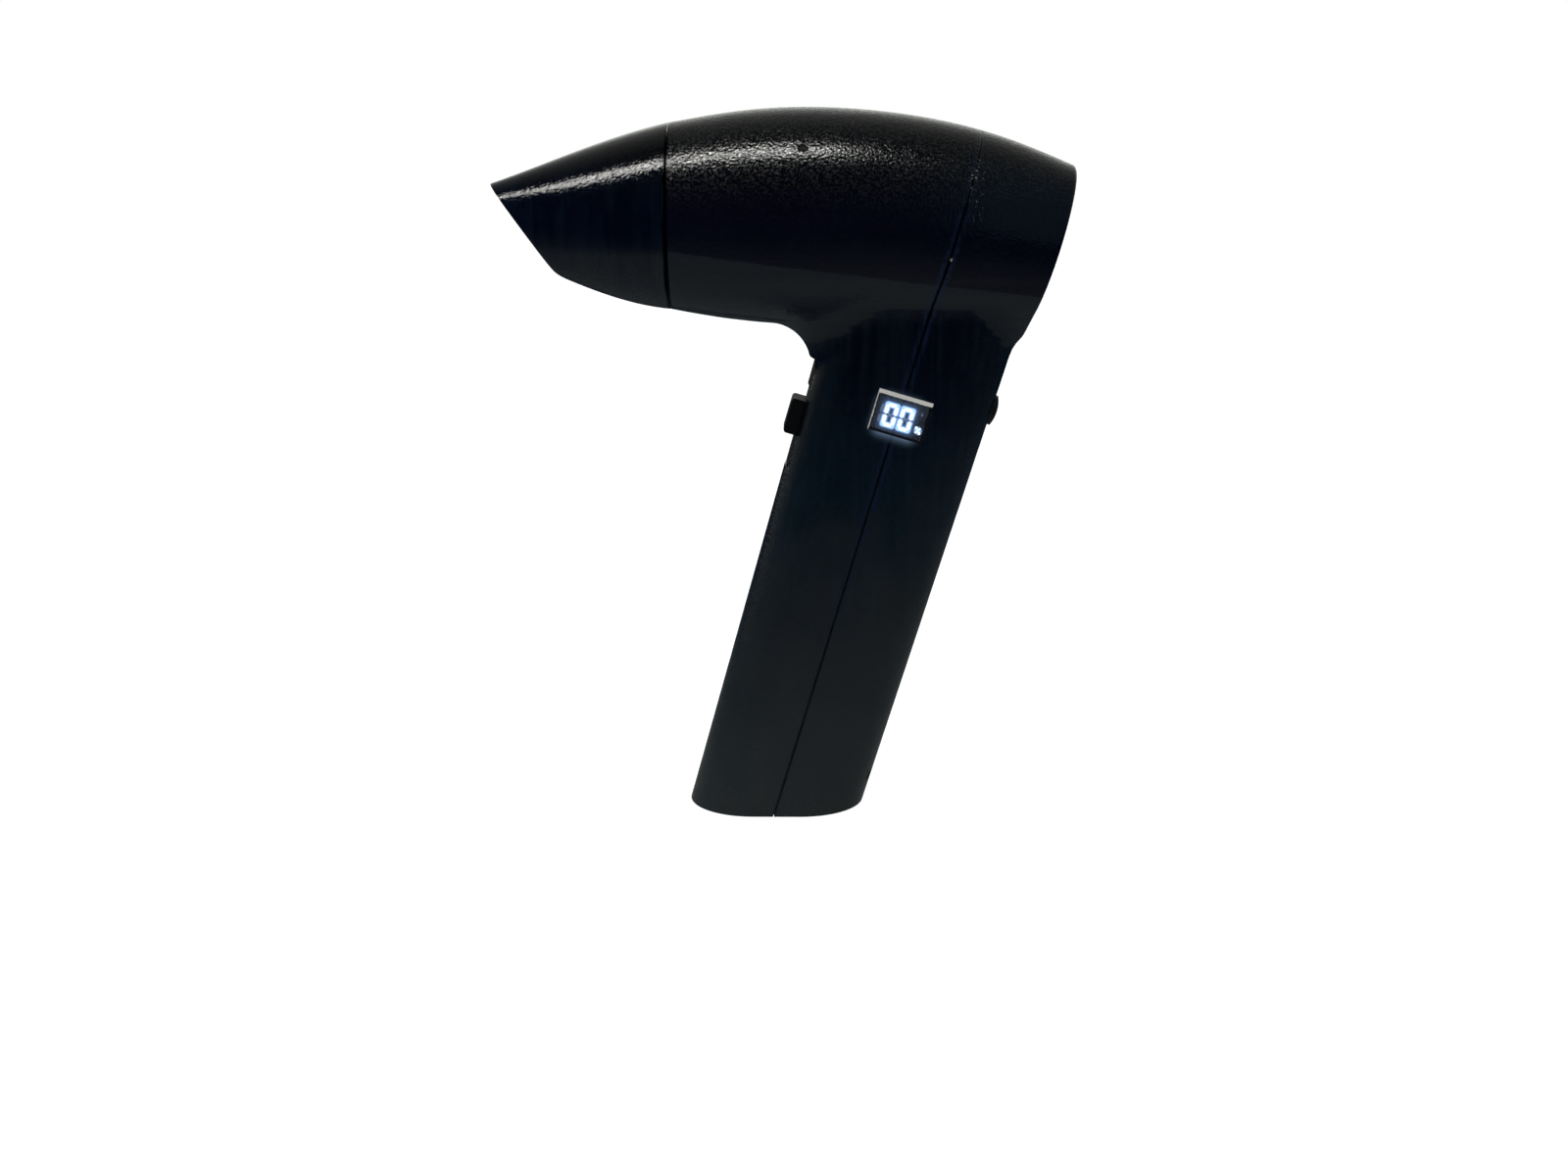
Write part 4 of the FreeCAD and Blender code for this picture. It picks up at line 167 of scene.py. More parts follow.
class Nodes:
    """Adds nodes to one node tree. A value is a number, a tuple or a node's output."""

    def __init__(self, tree):
        self.tree = tree

    def add(self, kind, **settings):
        node = self.tree.nodes.new(kind)
        for key, value in settings.items():
            setattr(node, key, value)
        return node

    def put(self, value, socket):
        """Sets a socket to a constant, or joins an output to it."""
        if isinstance(value, (int, float, tuple)):
            socket.default_value = value
        else:
            self.tree.links.new(value, socket)

    def place(self):
        """The point's place on the object, in metres."""
        return self.add("ShaderNodeTexCoord").outputs["Object"]

    def split(self, vector):
        """The three components of a vector."""
        node = self.add("ShaderNodeSeparateXYZ")
        self.put(vector, node.inputs[0])
        return node.outputs[:3]

    def scaled(self, vector, scale, turn=0.0):
        """A vector scaled along its axes, and then turned about Y."""
        node = self.add("ShaderNodeMapping")
        self.put(vector, node.inputs["Vector"])
        self.put(scale, node.inputs["Scale"])
        self.put((0.0, turn, 0.0), node.inputs["Rotation"])
        return node.outputs["Vector"]

    def length(self, vector):
        node = self.add("ShaderNodeVectorMath", operation="LENGTH")
        self.put(vector, node.inputs[0])
        return node.outputs["Value"]

    def noise(self, vector, scale, detail=4.0, roughness=0.55):
        node = self.add("ShaderNodeTexNoise")
        self.put(vector, node.inputs["Vector"])
        self.put(scale, node.inputs["Scale"])
        self.put(detail, node.inputs["Detail"])
        self.put(roughness, node.inputs["Roughness"])
        return node.outputs["Fac"]

    def cells(self, vector, scale):
        """Distance to the edges of irregular cells."""
        node = self.add("ShaderNodeTexVoronoi", feature="DISTANCE_TO_EDGE")
        self.put(vector, node.inputs["Vector"])
        self.put(scale, node.inputs["Scale"])
        return node.outputs["Distance"]

    def math(self, operation, first, second=0.0):
        node = self.add("ShaderNodeMath", operation=operation)
        self.put(first, node.inputs[0])
        self.put(second, node.inputs[1])
        return node.outputs[0]

    def chain(self, operation, values):
        """Applies an operation to the first two values, then to its result and the next one."""
        result = values[0]
        for value in values[1:]:
            result = self.math(operation, result, value)
        return result

    def total(self, *values):
        return self.chain("ADD", values)

    def product(self, *values):
        return self.chain("MULTIPLY", values)

    def most(self, *values):
        return self.chain("MAXIMUM", values)

    def least(self, *values):
        return self.chain("MINIMUM", values)

    def minus(self, first, second):
        return self.math("SUBTRACT", first, second)

    def size(self, value):
        return self.math("ABSOLUTE", value)

    def apart(self, first, second):
        """How far two values are apart."""
        return self.size(self.minus(first, second))

    def hypotenuse(self, first, second):
        squares = self.product(first, first), self.product(second, second)
        return self.math("SQRT", self.total(*squares))

    def ramp(self, value, low, high, to_low=0.0, to_high=1.0, smooth=False):
        """Maps low..high to to_low..to_high, clamped."""
        node = self.add("ShaderNodeMapRange", clamp=True)
        if smooth:
            node.interpolation_type = "SMOOTHSTEP"
        self.put(value, node.inputs["Value"])
        self.put(low, node.inputs["From Min"])
        self.put(high, node.inputs["From Max"])
        self.put(to_low, node.inputs["To Min"])
        self.put(to_high, node.inputs["To Max"])
        return node.outputs["Result"]

    def fall(self, value, low, high, smooth=False):
        """1 up to low, and 0 from high on."""
        return self.ramp(value, low, high, 1.0, 0.0, smooth)

    def near(self, value, middle, inner, outer):
        """1 within inner of the middle, and 0 beyond outer."""
        return self.fall(self.apart(value, middle), inner, outer)

    def mix(self, share, first, second):
        """Mixes two colours."""
        node = self.add("ShaderNodeMix", data_type="RGBA")
        self.put(share, node.inputs[0])
        self.put(first, node.inputs[6])
        self.put(second, node.inputs[7])
        return node.outputs[2]

    def stops(self, value, *stops):
        """Colours at places from 0 to 1, with straight runs between them."""
        node = self.add("ShaderNodeValToRGB")
        elements = node.color_ramp.elements
        while len(elements) < len(stops):
            elements.new(1.0)
        for element, (position, tint) in zip(elements, stops):
            element.position = position
            element.color = tint
        self.put(value, node.inputs[0])
        return node.outputs["Color"]

    def bump(self, height, distance, strength=1.0, before=None):
        """Normals of a relief, laid over the normals before."""
        node = self.add("ShaderNodeBump")
        self.put(strength, node.inputs["Strength"])
        self.put(distance, node.inputs["Distance"])
        self.put(height, node.inputs["Height"])
        if before is not None:
            self.put(before, node.inputs["Normal"])
        return node.outputs["Normal"]

    def bevel(self, radius):
        """Normals that round the sharp edges off."""
        node = self.add("ShaderNodeBevel", samples=4)
        self.put(radius, node.inputs["Radius"])
        return node.outputs["Normal"]

    def shine(self, kind, shade, strength):
        """Shader of an Emission or a Background node."""
        node = self.add(kind)
        self.put(shade, node.inputs["Color"])
        self.put(strength, node.inputs["Strength"])
        return node.outputs[0]

    def blend(self, share, first, second):
        """Mixes two shaders."""
        node = self.add("ShaderNodeMixShader")
        for value, socket in zip((share, first, second), node.inputs):
            self.put(value, socket)
        return node.outputs[0]


class Material(Nodes):
    """Builds one procedural material around a Principled shader."""

    def __init__(self, name):
        self.data = bpy.data.materials.new(name)
        self.data.use_nodes = True
        super().__init__(self.data.node_tree)
        self.shader = self.tree.nodes["Principled BSDF"]
        self.output = self.tree.nodes["Material Output"]

    def finish(self, **values):
        """Fills the shader's sockets, their names with underscores, and returns the material."""
        for key, value in values.items():
            self.put(value, self.shader.inputs[key.replace("_", " ")])
        return self.data


# Finishes


def handle_place(m):
    """The point's place in the handle's frame: t, y and s."""
    return m.split(m.scaled(m.place(), (1.0, 1.0, 1.0), turn=-LEAN))


def digit_distance(m, t, s):
    """Distance on the display's face from the middle line of the nearer digit's strokes."""
    distances = []
    for centre_t, centre_s in DIGIT_CENTRES:
        over_t = m.minus(m.apart(t, centre_t), DIGIT_HALF_WIDTH)
        over_s = m.minus(m.apart(s, centre_s), DIGIT_HALF_HEIGHT)
        inside = m.least(m.most(over_t, over_s), 0.0)
        outside = m.hypotenuse(m.most(over_t, 0.0), m.most(over_s, 0.0))
        distances.append(m.size(m.total(inside, outside)))
    return m.least(*distances)


def pit(m, place):
    """A ragged hole in the paint on top of the barrel: 1 inside it."""
    on_surface = NODES["front_housing"].closest_point_on_mesh(Vector(PIT_PLACE))[1]
    offset = m.add("ShaderNodeVectorMath", operation="SUBTRACT")
    m.put(place, offset.inputs[0])
    m.put(tuple(on_surface), offset.inputs[1])
    reach = m.length(m.scaled(offset.outputs[0], tuple(1.0 / half for half in PIT_HALVES)))
    ragged = m.total(reach, m.ramp(m.noise(place, 1400.0), 0.3, 0.7, -0.3, 0.3))
    return m.fall(ragged, 0.6, 1.0)


def wear(m, place, t, y, s):
    """Chips and scratches along the upper split on the display's side: 1 where the plastic shows
    through the paint.
    """
    ragged = m.noise(place, 1300.0, detail=4.0, roughness=0.7)
    chips = m.product(m.near(t, SPLIT_T, 0.2 * MM, 0.9 * MM), m.ramp(s, *CHIPS_FOOT),
                      m.fall(s, *CHIPS_TOP), m.ramp(ragged, 0.60, 0.63))
    lone = m.product(m.near(t, LONE_CHIP[0], 0.1 * MM, 0.4 * MM),
                     m.near(s, LONE_CHIP[1], 0.2 * MM, 0.5 * MM), 0.6)
    scratch = m.noise(m.scaled(place, (1.0, 1.0, 0.16), turn=-LEAN), 1500.0, detail=2.0)
    scratches = m.product(m.near(t, SCRATCHES[0], 0.8 * MM, 2.0 * MM),
                          m.near(s, SCRATCHES[1], 3.0 * MM, 7.0 * MM),
                          m.ramp(scratch, 0.64, 0.69), 0.18)
    return m.product(m.most(chips, lone, scratches), m.ramp(y, *WORN_SIDE))


def barrel_colour_and_reflections(m, cloud, streaks, jagged, z, height):
    """Near black with a navy tint, with a painted reflection making it greyer on top, and a painted
    reflection of the floor making it paler under the faint line along it.
    """
    base = m.mix(m.ramp(cloud, 0.35, 0.65),
                 colour(0.0003, 0.0007, 0.0046), colour(0.0007, 0.0012, 0.0060))
    base = m.mix(m.ramp(z, 0.164, 0.180), base, PAINTED_TOP_SHEEN)
    wavering = m.total(height, m.product(jagged, 0.1))
    # Painted reflection of the floor: paler under the faint line
    under = m.fall(wavering, LINE_HEIGHT - 0.3 * MM, LINE_HEIGHT + 0.2 * MM)
    floor_reflection = m.product(under, m.ramp(streaks, 0.30, 0.62, 0.70, 1.0))
    base = m.mix(floor_reflection, base, colour(0.0062, 0.0090, 0.0122))
    low = m.ramp(height, LINE_HEIGHT + 10.0 * MM, LINE_HEIGHT - 1.0 * MM)
    lines = m.product(m.ramp(streaks, 0.54, 0.66), low, 0.35)
    return m.mix(lines, base, colour(0.0060, 0.0066, 0.0110))


def handle_reflection_colour(m, cloud, upright, s):
    """Painted reflection of the floor: greyer towards the foot, and navy under the barrel, where
    the barrel shades it, with upright streaks.
    """
    wavy = m.total(s, m.ramp(cloud, 0.3, 0.7, -12.0 * MM, 12.0 * MM))
    base = m.stops(m.ramp(wavy, 0.0, 0.13),
                   (0.0, colour(0.0122, 0.0158, 0.0176)), (0.45, colour(0.0068, 0.0090, 0.0118)),
                   (0.72, colour(0.0010, 0.0048, 0.0094)), (0.90, colour(0.0005, 0.0026, 0.0078)),
                   (1.0, colour(0.0003, 0.0012, 0.0056)))
    streaked = m.product(m.ramp(upright, 0.45, 0.75), 0.30)
    return m.mix(streaked, base, colour(0.0060, 0.0125, 0.0190))


def shell_paint():
    """Printed shells, sanded and painted: grit, layer lines, a pit, wear along the split, and
    painted reflections, glints, shade and glow.
    """
    m = Material("shell_paint")
    place = m.place()
    x, _, z = m.split(place)
    t, y, s = handle_place(m)
    grit = m.noise(place, 1300.0, detail=1.0, roughness=0.4)
    specks = m.noise(place, 1700.0, detail=1.0)
    cloud = m.noise(place, 60.0, detail=5.0)
    layers = m.noise(m.scaled(place, (0.02, 0.02, 1.0), turn=LAYER_SLOPE), 1500.0, detail=3.0)
    streaks = m.noise(m.scaled(place, (0.03, 0.03, 1.0), turn=LAYER_SLOPE), 420.0, detail=3.0)
    upright = m.noise(m.scaled(place, (1.0, 1.0, 0.03), turn=-LEAN), 600.0, detail=3.0)
    jagged = m.product(m.minus(streaks, 0.5), 8.0 * MM)
    height = m.total(z, m.product(x, LINE_FALL))

    # Painted reflection: the handle's reflected floor ends in a dome under the barrel
    dome = m.total(m.ramp(x, *DOME_FRONT, -DOME_FALL, 0.0, smooth=True),
                   m.ramp(x, *DOME_REAR, 0.0, -DOME_FALL, smooth=True))
    over_dome = m.ramp(m.total(m.minus(z, dome), jagged),
                       DOME_HEIGHT - 0.2 * MM, DOME_HEIGHT + 0.2 * MM)
    base = m.mix(over_dome, handle_reflection_colour(m, cloud, upright, s),
                 barrel_colour_and_reflections(m, cloud, streaks, jagged, z, height))

    # A thin painted bluish sheen beside the split, pale specks on top painted as glints of the
    # lamp, the wear and the pit
    off_split = m.apart(t, SPLIT_T)
    combed = m.noise(m.scaled(place, (1.0, 1.0, 0.02), turn=-LEAN), 2600.0, detail=1.0)
    beside = m.product(m.ramp(off_split, 0.3 * MM, 0.5 * MM), m.fall(off_split, 1.1 * MM, 1.8 * MM),
                       m.ramp(combed, 0.42, 0.58, 0.15, 1.0), m.ramp(s, 0.05, 0.115, 0.12, 1.0),
                       m.ramp(s, 0.160, 0.175, 1.0, 0.35))
    base = m.mix(beside, base, colour(0.0024, 0.0064, 0.0250))
    # Painted glints: pale specks along the top, where the lamp's streak lies
    pale = m.product(m.ramp(specks, 0.50, 0.60), m.ramp(z, 0.166, 0.176))
    base = m.mix(pale, base, colour(0.0060, 0.0062, 0.0066))
    worn = wear(m, place, t, y, s)
    base = m.mix(worn, base, colour(0.50, 0.49, 0.45))
    hole = pit(m, place)
    base = m.mix(hole, base, grey(0.0010))

    # Painted shade: dark lines beside the nozzle's seam, where the joint's rounded edges lie in
    # shade, and beside the trigger's slot, in its slit's shadow
    edge = m.fall(x, SEAM_X + 0.1 * MM, SEAM_X + SEAM_REACH)
    base = m.mix(edge, base, SEAM_SHADE)
    beside_slot = m.product(m.near(m.size(y), SLOT_EDGE_Y, 0.3 * MM, 0.8 * MM),
                            m.near(s, SLOT_MIDDLE_S, SLOT_HALF, SLOT_HALF + 0.4 * MM),
                            m.fall(t, *SLOT_DEPTH))
    base = m.mix(beside_slot, base, colour(0.0003, 0.0004, 0.0006))

    # Relief: the grooves, the paint's grit, the print's layers and streaks, the ridge and the pit
    seam = m.product(edge, m.ramp(z, *SEAM_TOP, SEAM_RELIEF, 0.0))
    grooves = m.minus(m.minus(m.ramp(off_split, 0.15 * MM, 0.45 * MM), seam), beside_slot)
    ridge_height = m.total(height, m.product(x, RIDGE_FALL))
    ridge = m.product(m.near(ridge_height, RIDGE_HEIGHT, 0.0, 0.4 * MM), m.fall(x, 0.0, 6.0 * MM))
    normal = m.bump(grooves, 0.6 * MM)
    normal = m.bump(grit, GRIT_DEPTH, before=normal)
    normal = m.bump(layers, 0.03 * MM, 0.7, before=normal)
    normal = m.bump(streaks, 0.08 * MM, 0.6, before=normal)
    normal = m.bump(m.minus(ridge, m.product(hole, 2.0)), 0.4 * MM, before=normal)

    rough = m.total(m.ramp(specks, 0.46, 0.56, 0.09, 0.27),
                    m.product(worn, 0.3), m.product(hole, 0.7))
    # Painted light: the digits' bluish glow spilling over the paint round the display
    spill = m.math("POWER", m.fall(digit_distance(m, t, s), 0.0, GLOW_REACH, smooth=True), 3.0)
    return m.finish(Base_Color=base, Metallic=edge, Roughness=rough, Normal=normal,
                    Emission_Color=colour(0.42, 0.66, 1.0),
                    Emission_Strength=m.product(spill, m.ramp(y, *GLOW_SIDE), 0.5))


def nozzle_plastic():
    """Glossier shell with print lines round its axis, a painted reflection of the floor along its
    lower part, and painted shade at its seam.
    """
    m = Material("nozzle_plastic")
    place = m.place()
    x, _, z = m.split(place)
    rings = m.noise(m.scaled(place, (1.0, 0.02, 0.02)), 2100.0, detail=3.0)
    waves = m.noise(m.scaled(place, (1.0, 0.15, 0.15)), 420.0, detail=3.0)
    grit = m.noise(place, 1600.0, detail=1.0)
    cloud = m.noise(place, 70.0, detail=4.0)
    base = m.mix(m.ramp(m.total(rings, waves, cloud), 1.3, 1.7),
                 colour(0.0003, 0.0009, 0.0044), colour(0.0014, 0.0034, 0.0084))
    base = m.mix(m.ramp(z, 0.166, 0.180), base, PAINTED_TOP_SHEEN)
    # Painted reflection of the floor: paler along the nozzle's lower part
    under = m.product(m.fall(z, 0.1535, 0.1560), m.ramp(waves, 0.3, 0.6, 0.6, 1.0))
    base = m.mix(under, base, colour(0.0056, 0.0082, 0.0118))
    # Painted shade beside the seam's real gap
    edge = m.ramp(x, SEAM_X - 0.8 * MM, SEAM_X - 0.3 * MM)
    base = m.mix(edge, base, SEAM_SHADE)
    seam = m.product(edge, m.ramp(z, *SEAM_TOP, -SEAM_RELIEF, 0.0))
    normal = m.bump(seam, 0.6 * MM)
    normal = m.bump(rings, 0.06 * MM, before=normal)
    normal = m.bump(waves, 0.08 * MM, 0.8, before=normal)
    normal = m.bump(grit, 0.06 * MM, before=normal)
    rough = m.total(m.ramp(grit, 0.46, 0.56, 0.03, 0.14), m.product(under, 0.15))
    return m.finish(Base_Color=base, Metallic=edge, Roughness=rough, Normal=normal)


def moulded(name, dark, pale, rough_low, rough_high, metallic=0.0):
    """Moulded, turned or printed surface with a fine grain."""
    m = Material(name)
    place = m.place()
    grit = m.noise(place, 1500.0, detail=3.0)
    cloud = m.noise(place, 90.0, detail=4.0)
    return m.finish(Base_Color=m.mix(m.ramp(cloud, 0.35, 0.65), colour(*dark), colour(*pale)),
                    Metallic=metallic,
                    Roughness=m.ramp(m.total(grit, cloud), 0.7, 1.3, rough_low, rough_high),
                    Normal=m.bump(grit, 0.04 * MM, 0.7, before=m.bevel(EDGE_ROUND)))


def brushed(name, scale, dark, pale, rough_low, rough_high):
    """Metal with fine lines, drawn out along the axes with a small scale."""
    m = Material(name)
    lines = m.noise(m.scaled(m.place(), scale), 2600.0, detail=3.0)
    return m.finish(Base_Color=m.mix(m.ramp(lines, 0.3, 0.7), colour(*dark), colour(*pale)),
                    Metallic=1.0,
                    Roughness=m.ramp(lines, 0.3, 0.7, rough_low, rough_high),
                    Normal=m.bump(lines, 0.02 * MM, 0.6))


def circuit_board():
    """Solder mask, paler where the copper lies under it."""
    m = Material("circuit_board")
    runs = m.cells(m.scaled(m.place(), (1.0, 1.0, 0.35)), 520.0)
    copper = m.ramp(runs, 0.04, 0.10)
    base = m.mix(copper, colour(0.008, 0.055, 0.022), colour(0.018, 0.13, 0.055))
    return m.finish(Base_Color=base, Roughness=m.ramp(runs, 0.0, 0.2, 0.3, 0.45),
                    Normal=m.bump(copper, 0.03 * MM, 0.6))


def rim_reach():
    """Least t and greatest s of the display's rim."""
    points = [vertex.co for vertex in NODES["display_frame"].data.vertices]
    return (min(p.x * math.cos(LEAN) - p.z * math.sin(LEAN) for p in points),
            max(p.x * math.sin(LEAN) + p.z * math.cos(LEAN) for p in points))


def display_rim():
    """Painted light from the display: pale along the top and the front side of the window, where
    its inner walls are lit, and dark like the housing's paint elsewhere.
    """
    m = Material("display_rim")
    place = m.place()
    t, _, s = handle_place(m)
    grain = m.noise(place, 2200.0, detail=2.0)
    ragged = m.ramp(m.noise(place, 1500.0), 0.3, 0.7, -0.15 * MM, 0.15 * MM)
    low_t, high_s = rim_reach()
    side, top = low_t + FLANGE, high_s - FLANGE
    # Painted light: the display lights the top and front inner walls of the rim
    lit_walls = m.most(m.ramp(m.total(s, ragged), top - 1.20 * MM, top - 1.00 * MM),
                  m.fall(m.total(t, ragged), side + 0.15 * MM, side + 0.30 * MM))
    pale = m.mix(grain, colour(0.46, 0.47, 0.47), colour(0.58, 0.58, 0.56))
    return m.finish(Base_Color=m.mix(lit_walls, colour(0.0010, 0.0018, 0.0062), pale),
                    Roughness=m.ramp(grain, 0.3, 0.7, 0.35, 0.5),
                    Normal=m.bump(grain, 0.03 * MM, 0.7, before=m.bevel(EDGE_ROUND)))


def display_glass():
    """Smoked window with a faint haze."""
    m = Material("display_glass")
    haze = m.noise(m.place(), 700.0, detail=2.0)
    return m.finish(Base_Color=m.mix(haze, colour(0.40, 0.46, 0.58), colour(0.46, 0.52, 0.64)),
                    Roughness=m.ramp(haze, 0.3, 0.7, 0.02, 0.07), IOR=1.45, Transmission_Weight=1.0)


def display_dark():
    """Dark face of the light guide, which glows bluish round the digits and the percent sign."""
    m = Material("display_dark")
    t, _, s = handle_place(m)
    distance = digit_distance(m, t, s)
    halo = m.math("POWER", m.fall(distance, 0.2 * MM, 3.4 * MM), 3.0)
    off_sign = m.hypotenuse(m.minus(t, SIGN_CENTRE[0]), m.minus(s, SIGN_CENTRE[1]))
    bloom = m.most(m.fall(distance, 0.5 * MM, 1.0 * MM, smooth=True),
                   m.fall(off_sign, 0.5 * MM, 1.3 * MM, smooth=True))
    bloom = m.product(bloom, m.ramp(m.apart(s, DIGIT_CENTRES[0][1]), 0.1 * MM, 0.4 * MM))
    haze = m.noise(m.place(), 800.0, detail=2.0)
    base = m.mix(haze, colour(0.0020, 0.0030, 0.0080), colour(0.0030, 0.0045, 0.0110))
    return m.finish(Base_Color=base,
                    Roughness=m.ramp(haze, 0.3, 0.7, 0.25, 0.4), Specular_IOR_Level=0.0,
                    Emission_Color=colour(0.42, 0.64, 1.0),
                    Emission_Strength=m.total(m.product(halo, 0.5), m.product(bloom, 2.2), 0.012))


def lit(name, tint, strength):
    """Light guide that glows almost evenly."""
    m = Material(name)
    haze = m.noise(m.place(), 900.0, detail=2.0)
    return m.finish(Base_Color=m.mix(haze, colour(0.7, 0.75, 0.8), colour(0.8, 0.85, 0.9)),
                    Emission_Color=colour(*tint),
                    Emission_Strength=m.ramp(haze, 0.2, 0.8, strength * 0.9, strength))


# Dark and pale colour, and least and greatest roughness
MOULDED = {
    "black_plastic": ((0.010, 0.010, 0.011), (0.018, 0.018, 0.020), 0.45, 0.60),
    "fan_plastic": ((0.014, 0.014, 0.016), (0.024, 0.024, 0.027), 0.30, 0.42),
    "trigger_plastic": ((0.0006, 0.0014, 0.0034), (0.0014, 0.0026, 0.0050), 0.55, 0.70),
    "button_plastic": ((0.003, 0.003, 0.004), (0.006, 0.006, 0.008), 0.25, 0.38),
    "chip_plastic": ((0.010, 0.010, 0.011), (0.020, 0.020, 0.021), 0.50, 0.65),
    "cell_sleeve": ((0.010, 0.14, 0.17), (0.02, 0.20, 0.24), 0.25, 0.38),
    "wire_sleeve": ((0.20, 0.012, 0.012), (0.30, 0.02, 0.02), 0.40, 0.55),
}
# The same, after the noise's scale along each axis
BRUSHED = {
    "motor_can": ((1.0, 0.05, 0.05), (0.42, 0.43, 0.45), (0.60, 0.61, 0.63), 0.20, 0.35),
    "steel": ((0.05, 1.0, 1.0), (0.45, 0.45, 0.47), (0.62, 0.62, 0.64), 0.15, 0.30),
    "screw_steel": ((0.3, 1.0, 1.0), (0.05, 0.05, 0.055), (0.12, 0.12, 0.13), 0.30, 0.45),
    "magnet": ((0.1, 1.0, 1.0), (0.25, 0.25, 0.27), (0.38, 0.38, 0.40), 0.25, 0.40),
    "nickel": ((1.0, 1.0, 0.1), (0.52, 0.50, 0.46), (0.70, 0.68, 0.64), 0.20, 0.35),
}
FINISHES = {
    "shell_paint": shell_paint(),
    "nozzle_plastic": nozzle_plastic(),
    "copper": moulded("copper", (0.48, 0.18, 0.07), (0.66, 0.28, 0.12), 0.20, 0.35, metallic=1.0),
    "circuit_board": circuit_board(),
    "display_rim": display_rim(),
    "display_glass": display_glass(),
    "display_dark": display_dark(),
    "display_light": lit("display_light", (0.86, 0.94, 1.0), 3.5),
    "display_ghost": lit("display_ghost", (0.45, 0.62, 1.0), 0.06),
}
for slot_name, look in MOULDED.items():
    FINISHES[slot_name] = moulded(slot_name, *look)
for slot_name, look in BRUSHED.items():
    FINISHES[slot_name] = brushed(slot_name, *look)


def dress_nodes():
    """Gives each CAD node the finish of its slot in the record."""
    for subpart in frame["record"]["subparts"]:
        for slot in NODES[subpart["node"]].material_slots:
            slot.material = FINISHES[subpart["material_slot"]]


# Added pieces


def placed(name, data):
    """A new object in the scene."""
    piece = bpy.data.objects.new(name, data)
    bpy.context.scene.collection.objects.link(piece)
    return piece


def lightning_icon():
    """Dim charging mark over the percent sign: a flat bent bolt on the panel's face."""
    face_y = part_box("display_digits")[1].y
    vertices = [leaned(BOLT_CENTRE[0] + BOLT_HALF * over, y, BOLT_CENTRE[1] + BOLT_HALF * up)
                for y in (face_y - BOLT_THICKNESS, face_y) for over, up in BOLT_OUTLINE]
    count = len(BOLT_OUTLINE)
    faces = [tuple(range(count)), tuple(reversed(range(count, 2 * count)))]
    faces += [(i, (i + 1) % count, (i + 1) % count + count, i + count) for i in range(count)]
    mesh = bpy.data.meshes.new("display_bolt")
    mesh.from_pydata(vertices, [], faces)
    mesh.validate()
    mesh.materials.append(FINISHES["display_ghost"])
    piece = placed("display_bolt", mesh)
    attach(piece, "housing")


def split_shade_strip():
    """Dark strip in the open joint at the foot of the split, standing in for the shade inside it,
    where the floor would show through.
    """
    vertices = [leaned(t, y, s)
                for t in (SPLIT_T - STRIP_HALF_GAP, SPLIT_T + STRIP_HALF_GAP)
                for y in (-STRIP_HALF_WIDTH, STRIP_HALF_WIDTH) for s in STRIP_REACH]
    faces = [(0, 1, 3, 2), (4, 6, 7, 5), (0, 2, 6, 4), (1, 5, 7, 3), (0, 4, 5, 1), (2, 3, 7, 6)]
    mesh = bpy.data.meshes.new("split_shade_strip")
    mesh.from_pydata(vertices, [], faces)
    mesh.materials.append(FINISHES["black_plastic"])
    piece = placed("split_shade_strip", mesh)
    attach(piece, "housing")


def return_spring():
    """The trigger's spring: a copy of its CAD mesh, hung on the housing in its place."""
    cad = NODES["trigger_spring"]
    piece = placed("return_spring", cad.data.copy())
    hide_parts("trigger_spring")
    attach(piece, "housing")
    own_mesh(piece)


# Stage


def world():
    """White to the camera. The object reflects a pale room behind it and at its sides, and a dark
    one in front."""
    data = bpy.data.worlds.new("studio")
    bpy.context.scene.world = data
    data.use_nodes = True
    data.node_tree.nodes.clear()
    w = Nodes(data.node_tree)
    x, y, _ = w.split(w.add("ShaderNodeTexCoord").outputs["Generated"])
    behind = w.stops(y, (0.05, grey(0.0)), (0.30, grey(0.08)), (0.65, grey(0.18)),
                     (0.86, grey(0.36)), (0.97, grey(1.0)))
    right = w.ramp(x, 0.12, 0.50, 0.0, 0.11, smooth=True)
    left = w.ramp(x, -0.98, -0.80, 0.05, 0.0, smooth=True)
    tint = w.mix(w.ramp(y, -0.1, 0.4), colour(0.50, 0.84, 1.0), colour(0.97, 1.0, 0.94))
    lighting = w.shine("ShaderNodeBackground", colour(1.0, 1.0, 0.98), ROOM_WHITE)
    room = w.shine("ShaderNodeBackground", tint, w.most(behind, right, left))
    white = w.shine("ShaderNodeBackground", grey(1.0), 1.0)
    rays = w.add("ShaderNodeLightPath").outputs
    unseen = w.blend(rays["Is Glossy Ray"], lighting, room)
    seen = w.most(rays["Is Camera Ray"], rays["Is Transmission Ray"])
    output = w.add("ShaderNodeOutputWorld")
    w.put(w.blend(seen, unseen, white), output.inputs["Surface"])


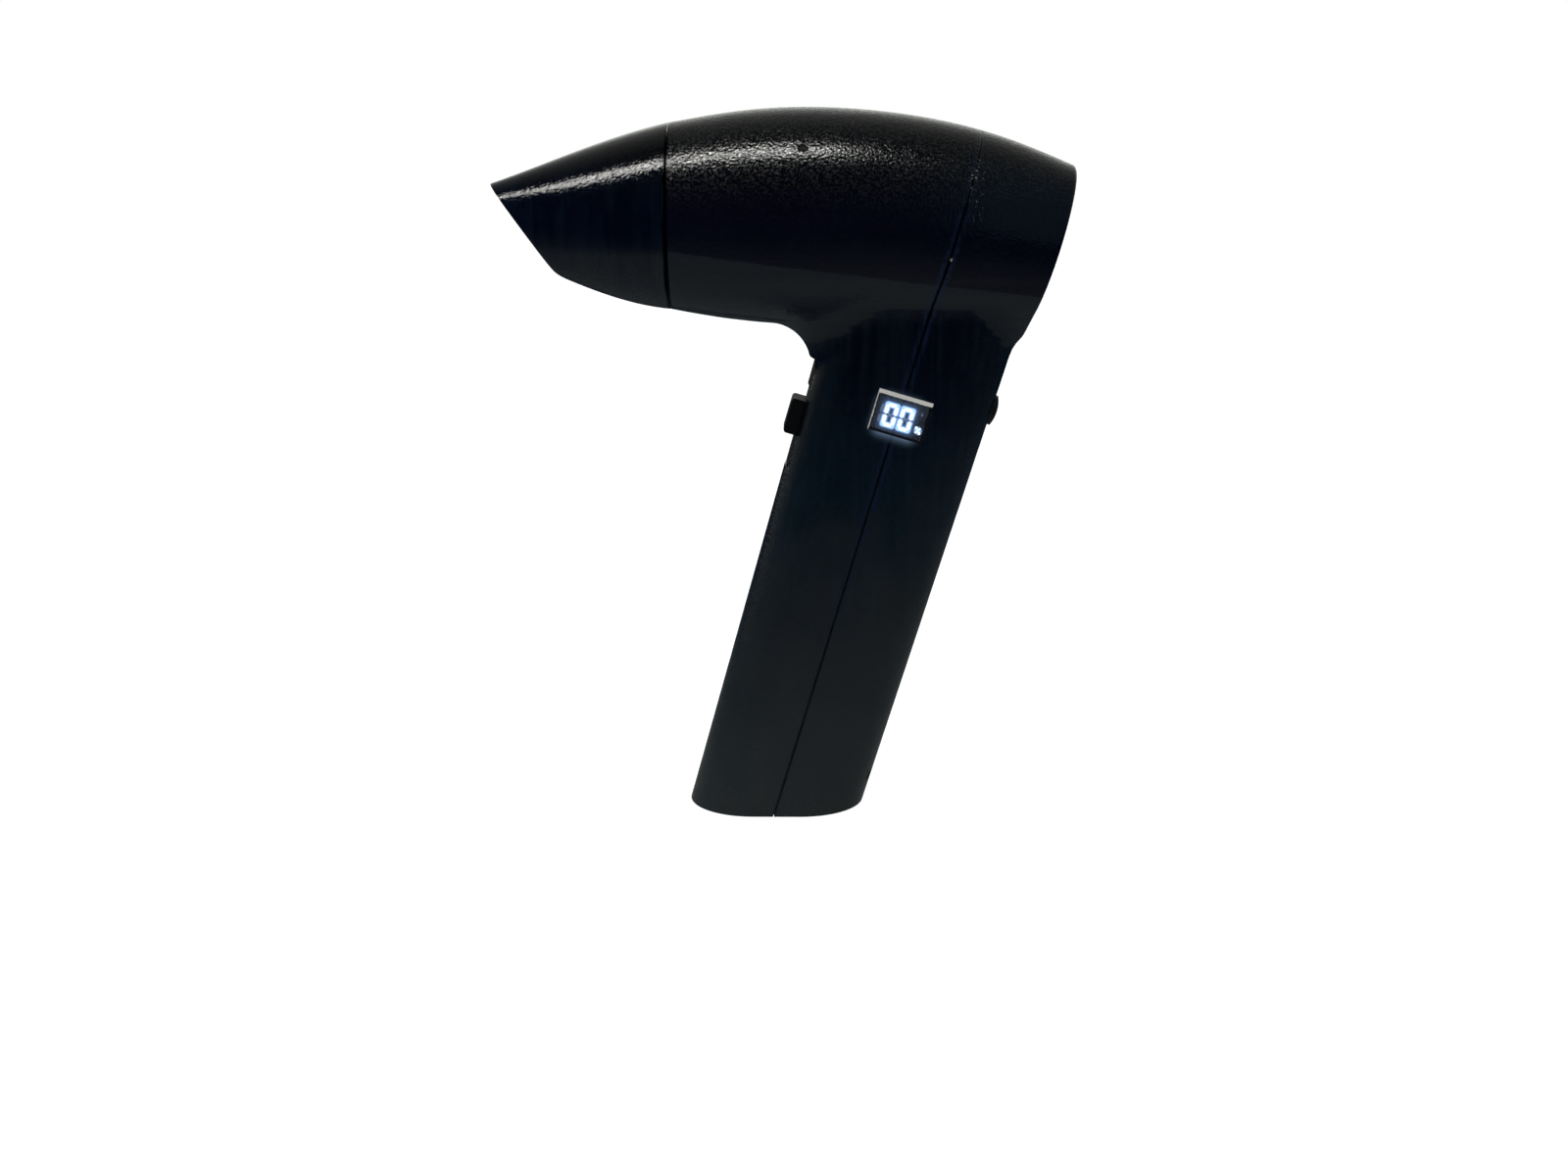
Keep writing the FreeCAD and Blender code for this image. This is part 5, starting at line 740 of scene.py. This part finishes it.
def floor():
    """Large pale table top. The camera sees it white apart from the object's shadow, and the object
    reflects it less the further off it lies."""
    corners = [(-FLOOR_HALF, -FLOOR_HALF, 0), (FLOOR_HALF, -FLOOR_HALF, 0),
               (FLOOR_HALF, FLOOR_HALF, 0), (-FLOOR_HALF, FLOOR_HALF, 0)]
    mesh = bpy.data.meshes.new("floor")
    mesh.from_pydata(corners, [], [(0, 1, 2, 3)])
    piece = placed("floor", mesh)
    piece.location.z = -FLOOR_DROP
    m = Material("floor")
    place = m.place()
    base = m.mix(m.noise(place, 300.0), colour(0.80, 0.80, 0.79), colour(0.84, 0.84, 0.83))
    m.finish(Base_Color=base, Roughness=0.9, Specular_IOR_Level=0.0)
    shaded = m.shader.outputs[0]
    mirrored = m.stops(m.length(place),
                       (0.0, colour(0.12, 0.13, 0.13)), (0.16, colour(0.07, 0.08, 0.08)),
                       (0.26, colour(0.04, 0.05, 0.06)), (0.40, colour(0.01, 0.02, 0.03)),
                       (0.50, colour(0.0, 0.01, 0.02)), (1.0, colour(0.0, 0.0, 0.01)))
    rays = m.add("ShaderNodeLightPath").outputs
    unseen = m.blend(rays["Is Glossy Ray"], shaded, m.shine("ShaderNodeEmission", mirrored, 1.0))
    white = m.shine("ShaderNodeEmission", grey(1.0), FLOOR_WHITE)
    seen = m.most(rays["Is Camera Ray"], rays["Is Transmission Ray"])
    seen_shade = m.blend(FLOOR_WHITE_SHARE, shaded, white)
    m.put(m.blend(seen, unseen, seen_shade), m.output.inputs["Surface"])
    mesh.materials.append(m.data)


def overhead():
    """Long thin lamp over the nozzle, which draws the streak along the top."""
    data = bpy.data.lights.new("overhead", "AREA")
    data.shape = "RECTANGLE"
    data.size, data.size_y = OVERHEAD_SIZE
    data.energy = OVERHEAD_POWER
    data.color = OVERHEAD_TINT
    piece = placed("overhead", data)
    piece.location = OVERHEAD_PLACE
    towards = Vector(OVERHEAD_TARGET) - Vector(OVERHEAD_PLACE)
    piece.rotation_euler = towards.to_track_quat("-Z", "Y").to_euler()


def camera():
    data = bpy.data.cameras.new("camera")
    data.sensor_width = SENSOR_WIDTH
    data.sensor_fit = "HORIZONTAL"
    data.lens = SENSOR_WIDTH * FOCAL_PIXELS / IMAGE_WIDTH
    data.clip_start = 0.01
    piece = placed("camera", data)
    piece.location = CAMERA_PLACE
    piece.rotation_euler = Euler((math.pi / 2 + CAMERA_ELEVATION, 0.0, -CAMERA_AZIMUTH))
    bpy.context.scene.camera = piece


def stage():
    world()
    floor()
    overhead()
    camera()
    bpy.context.scene.view_settings.view_transform = "Standard"


dress_nodes()
lightning_icon()
split_shade_strip()
return_spring()
stage()
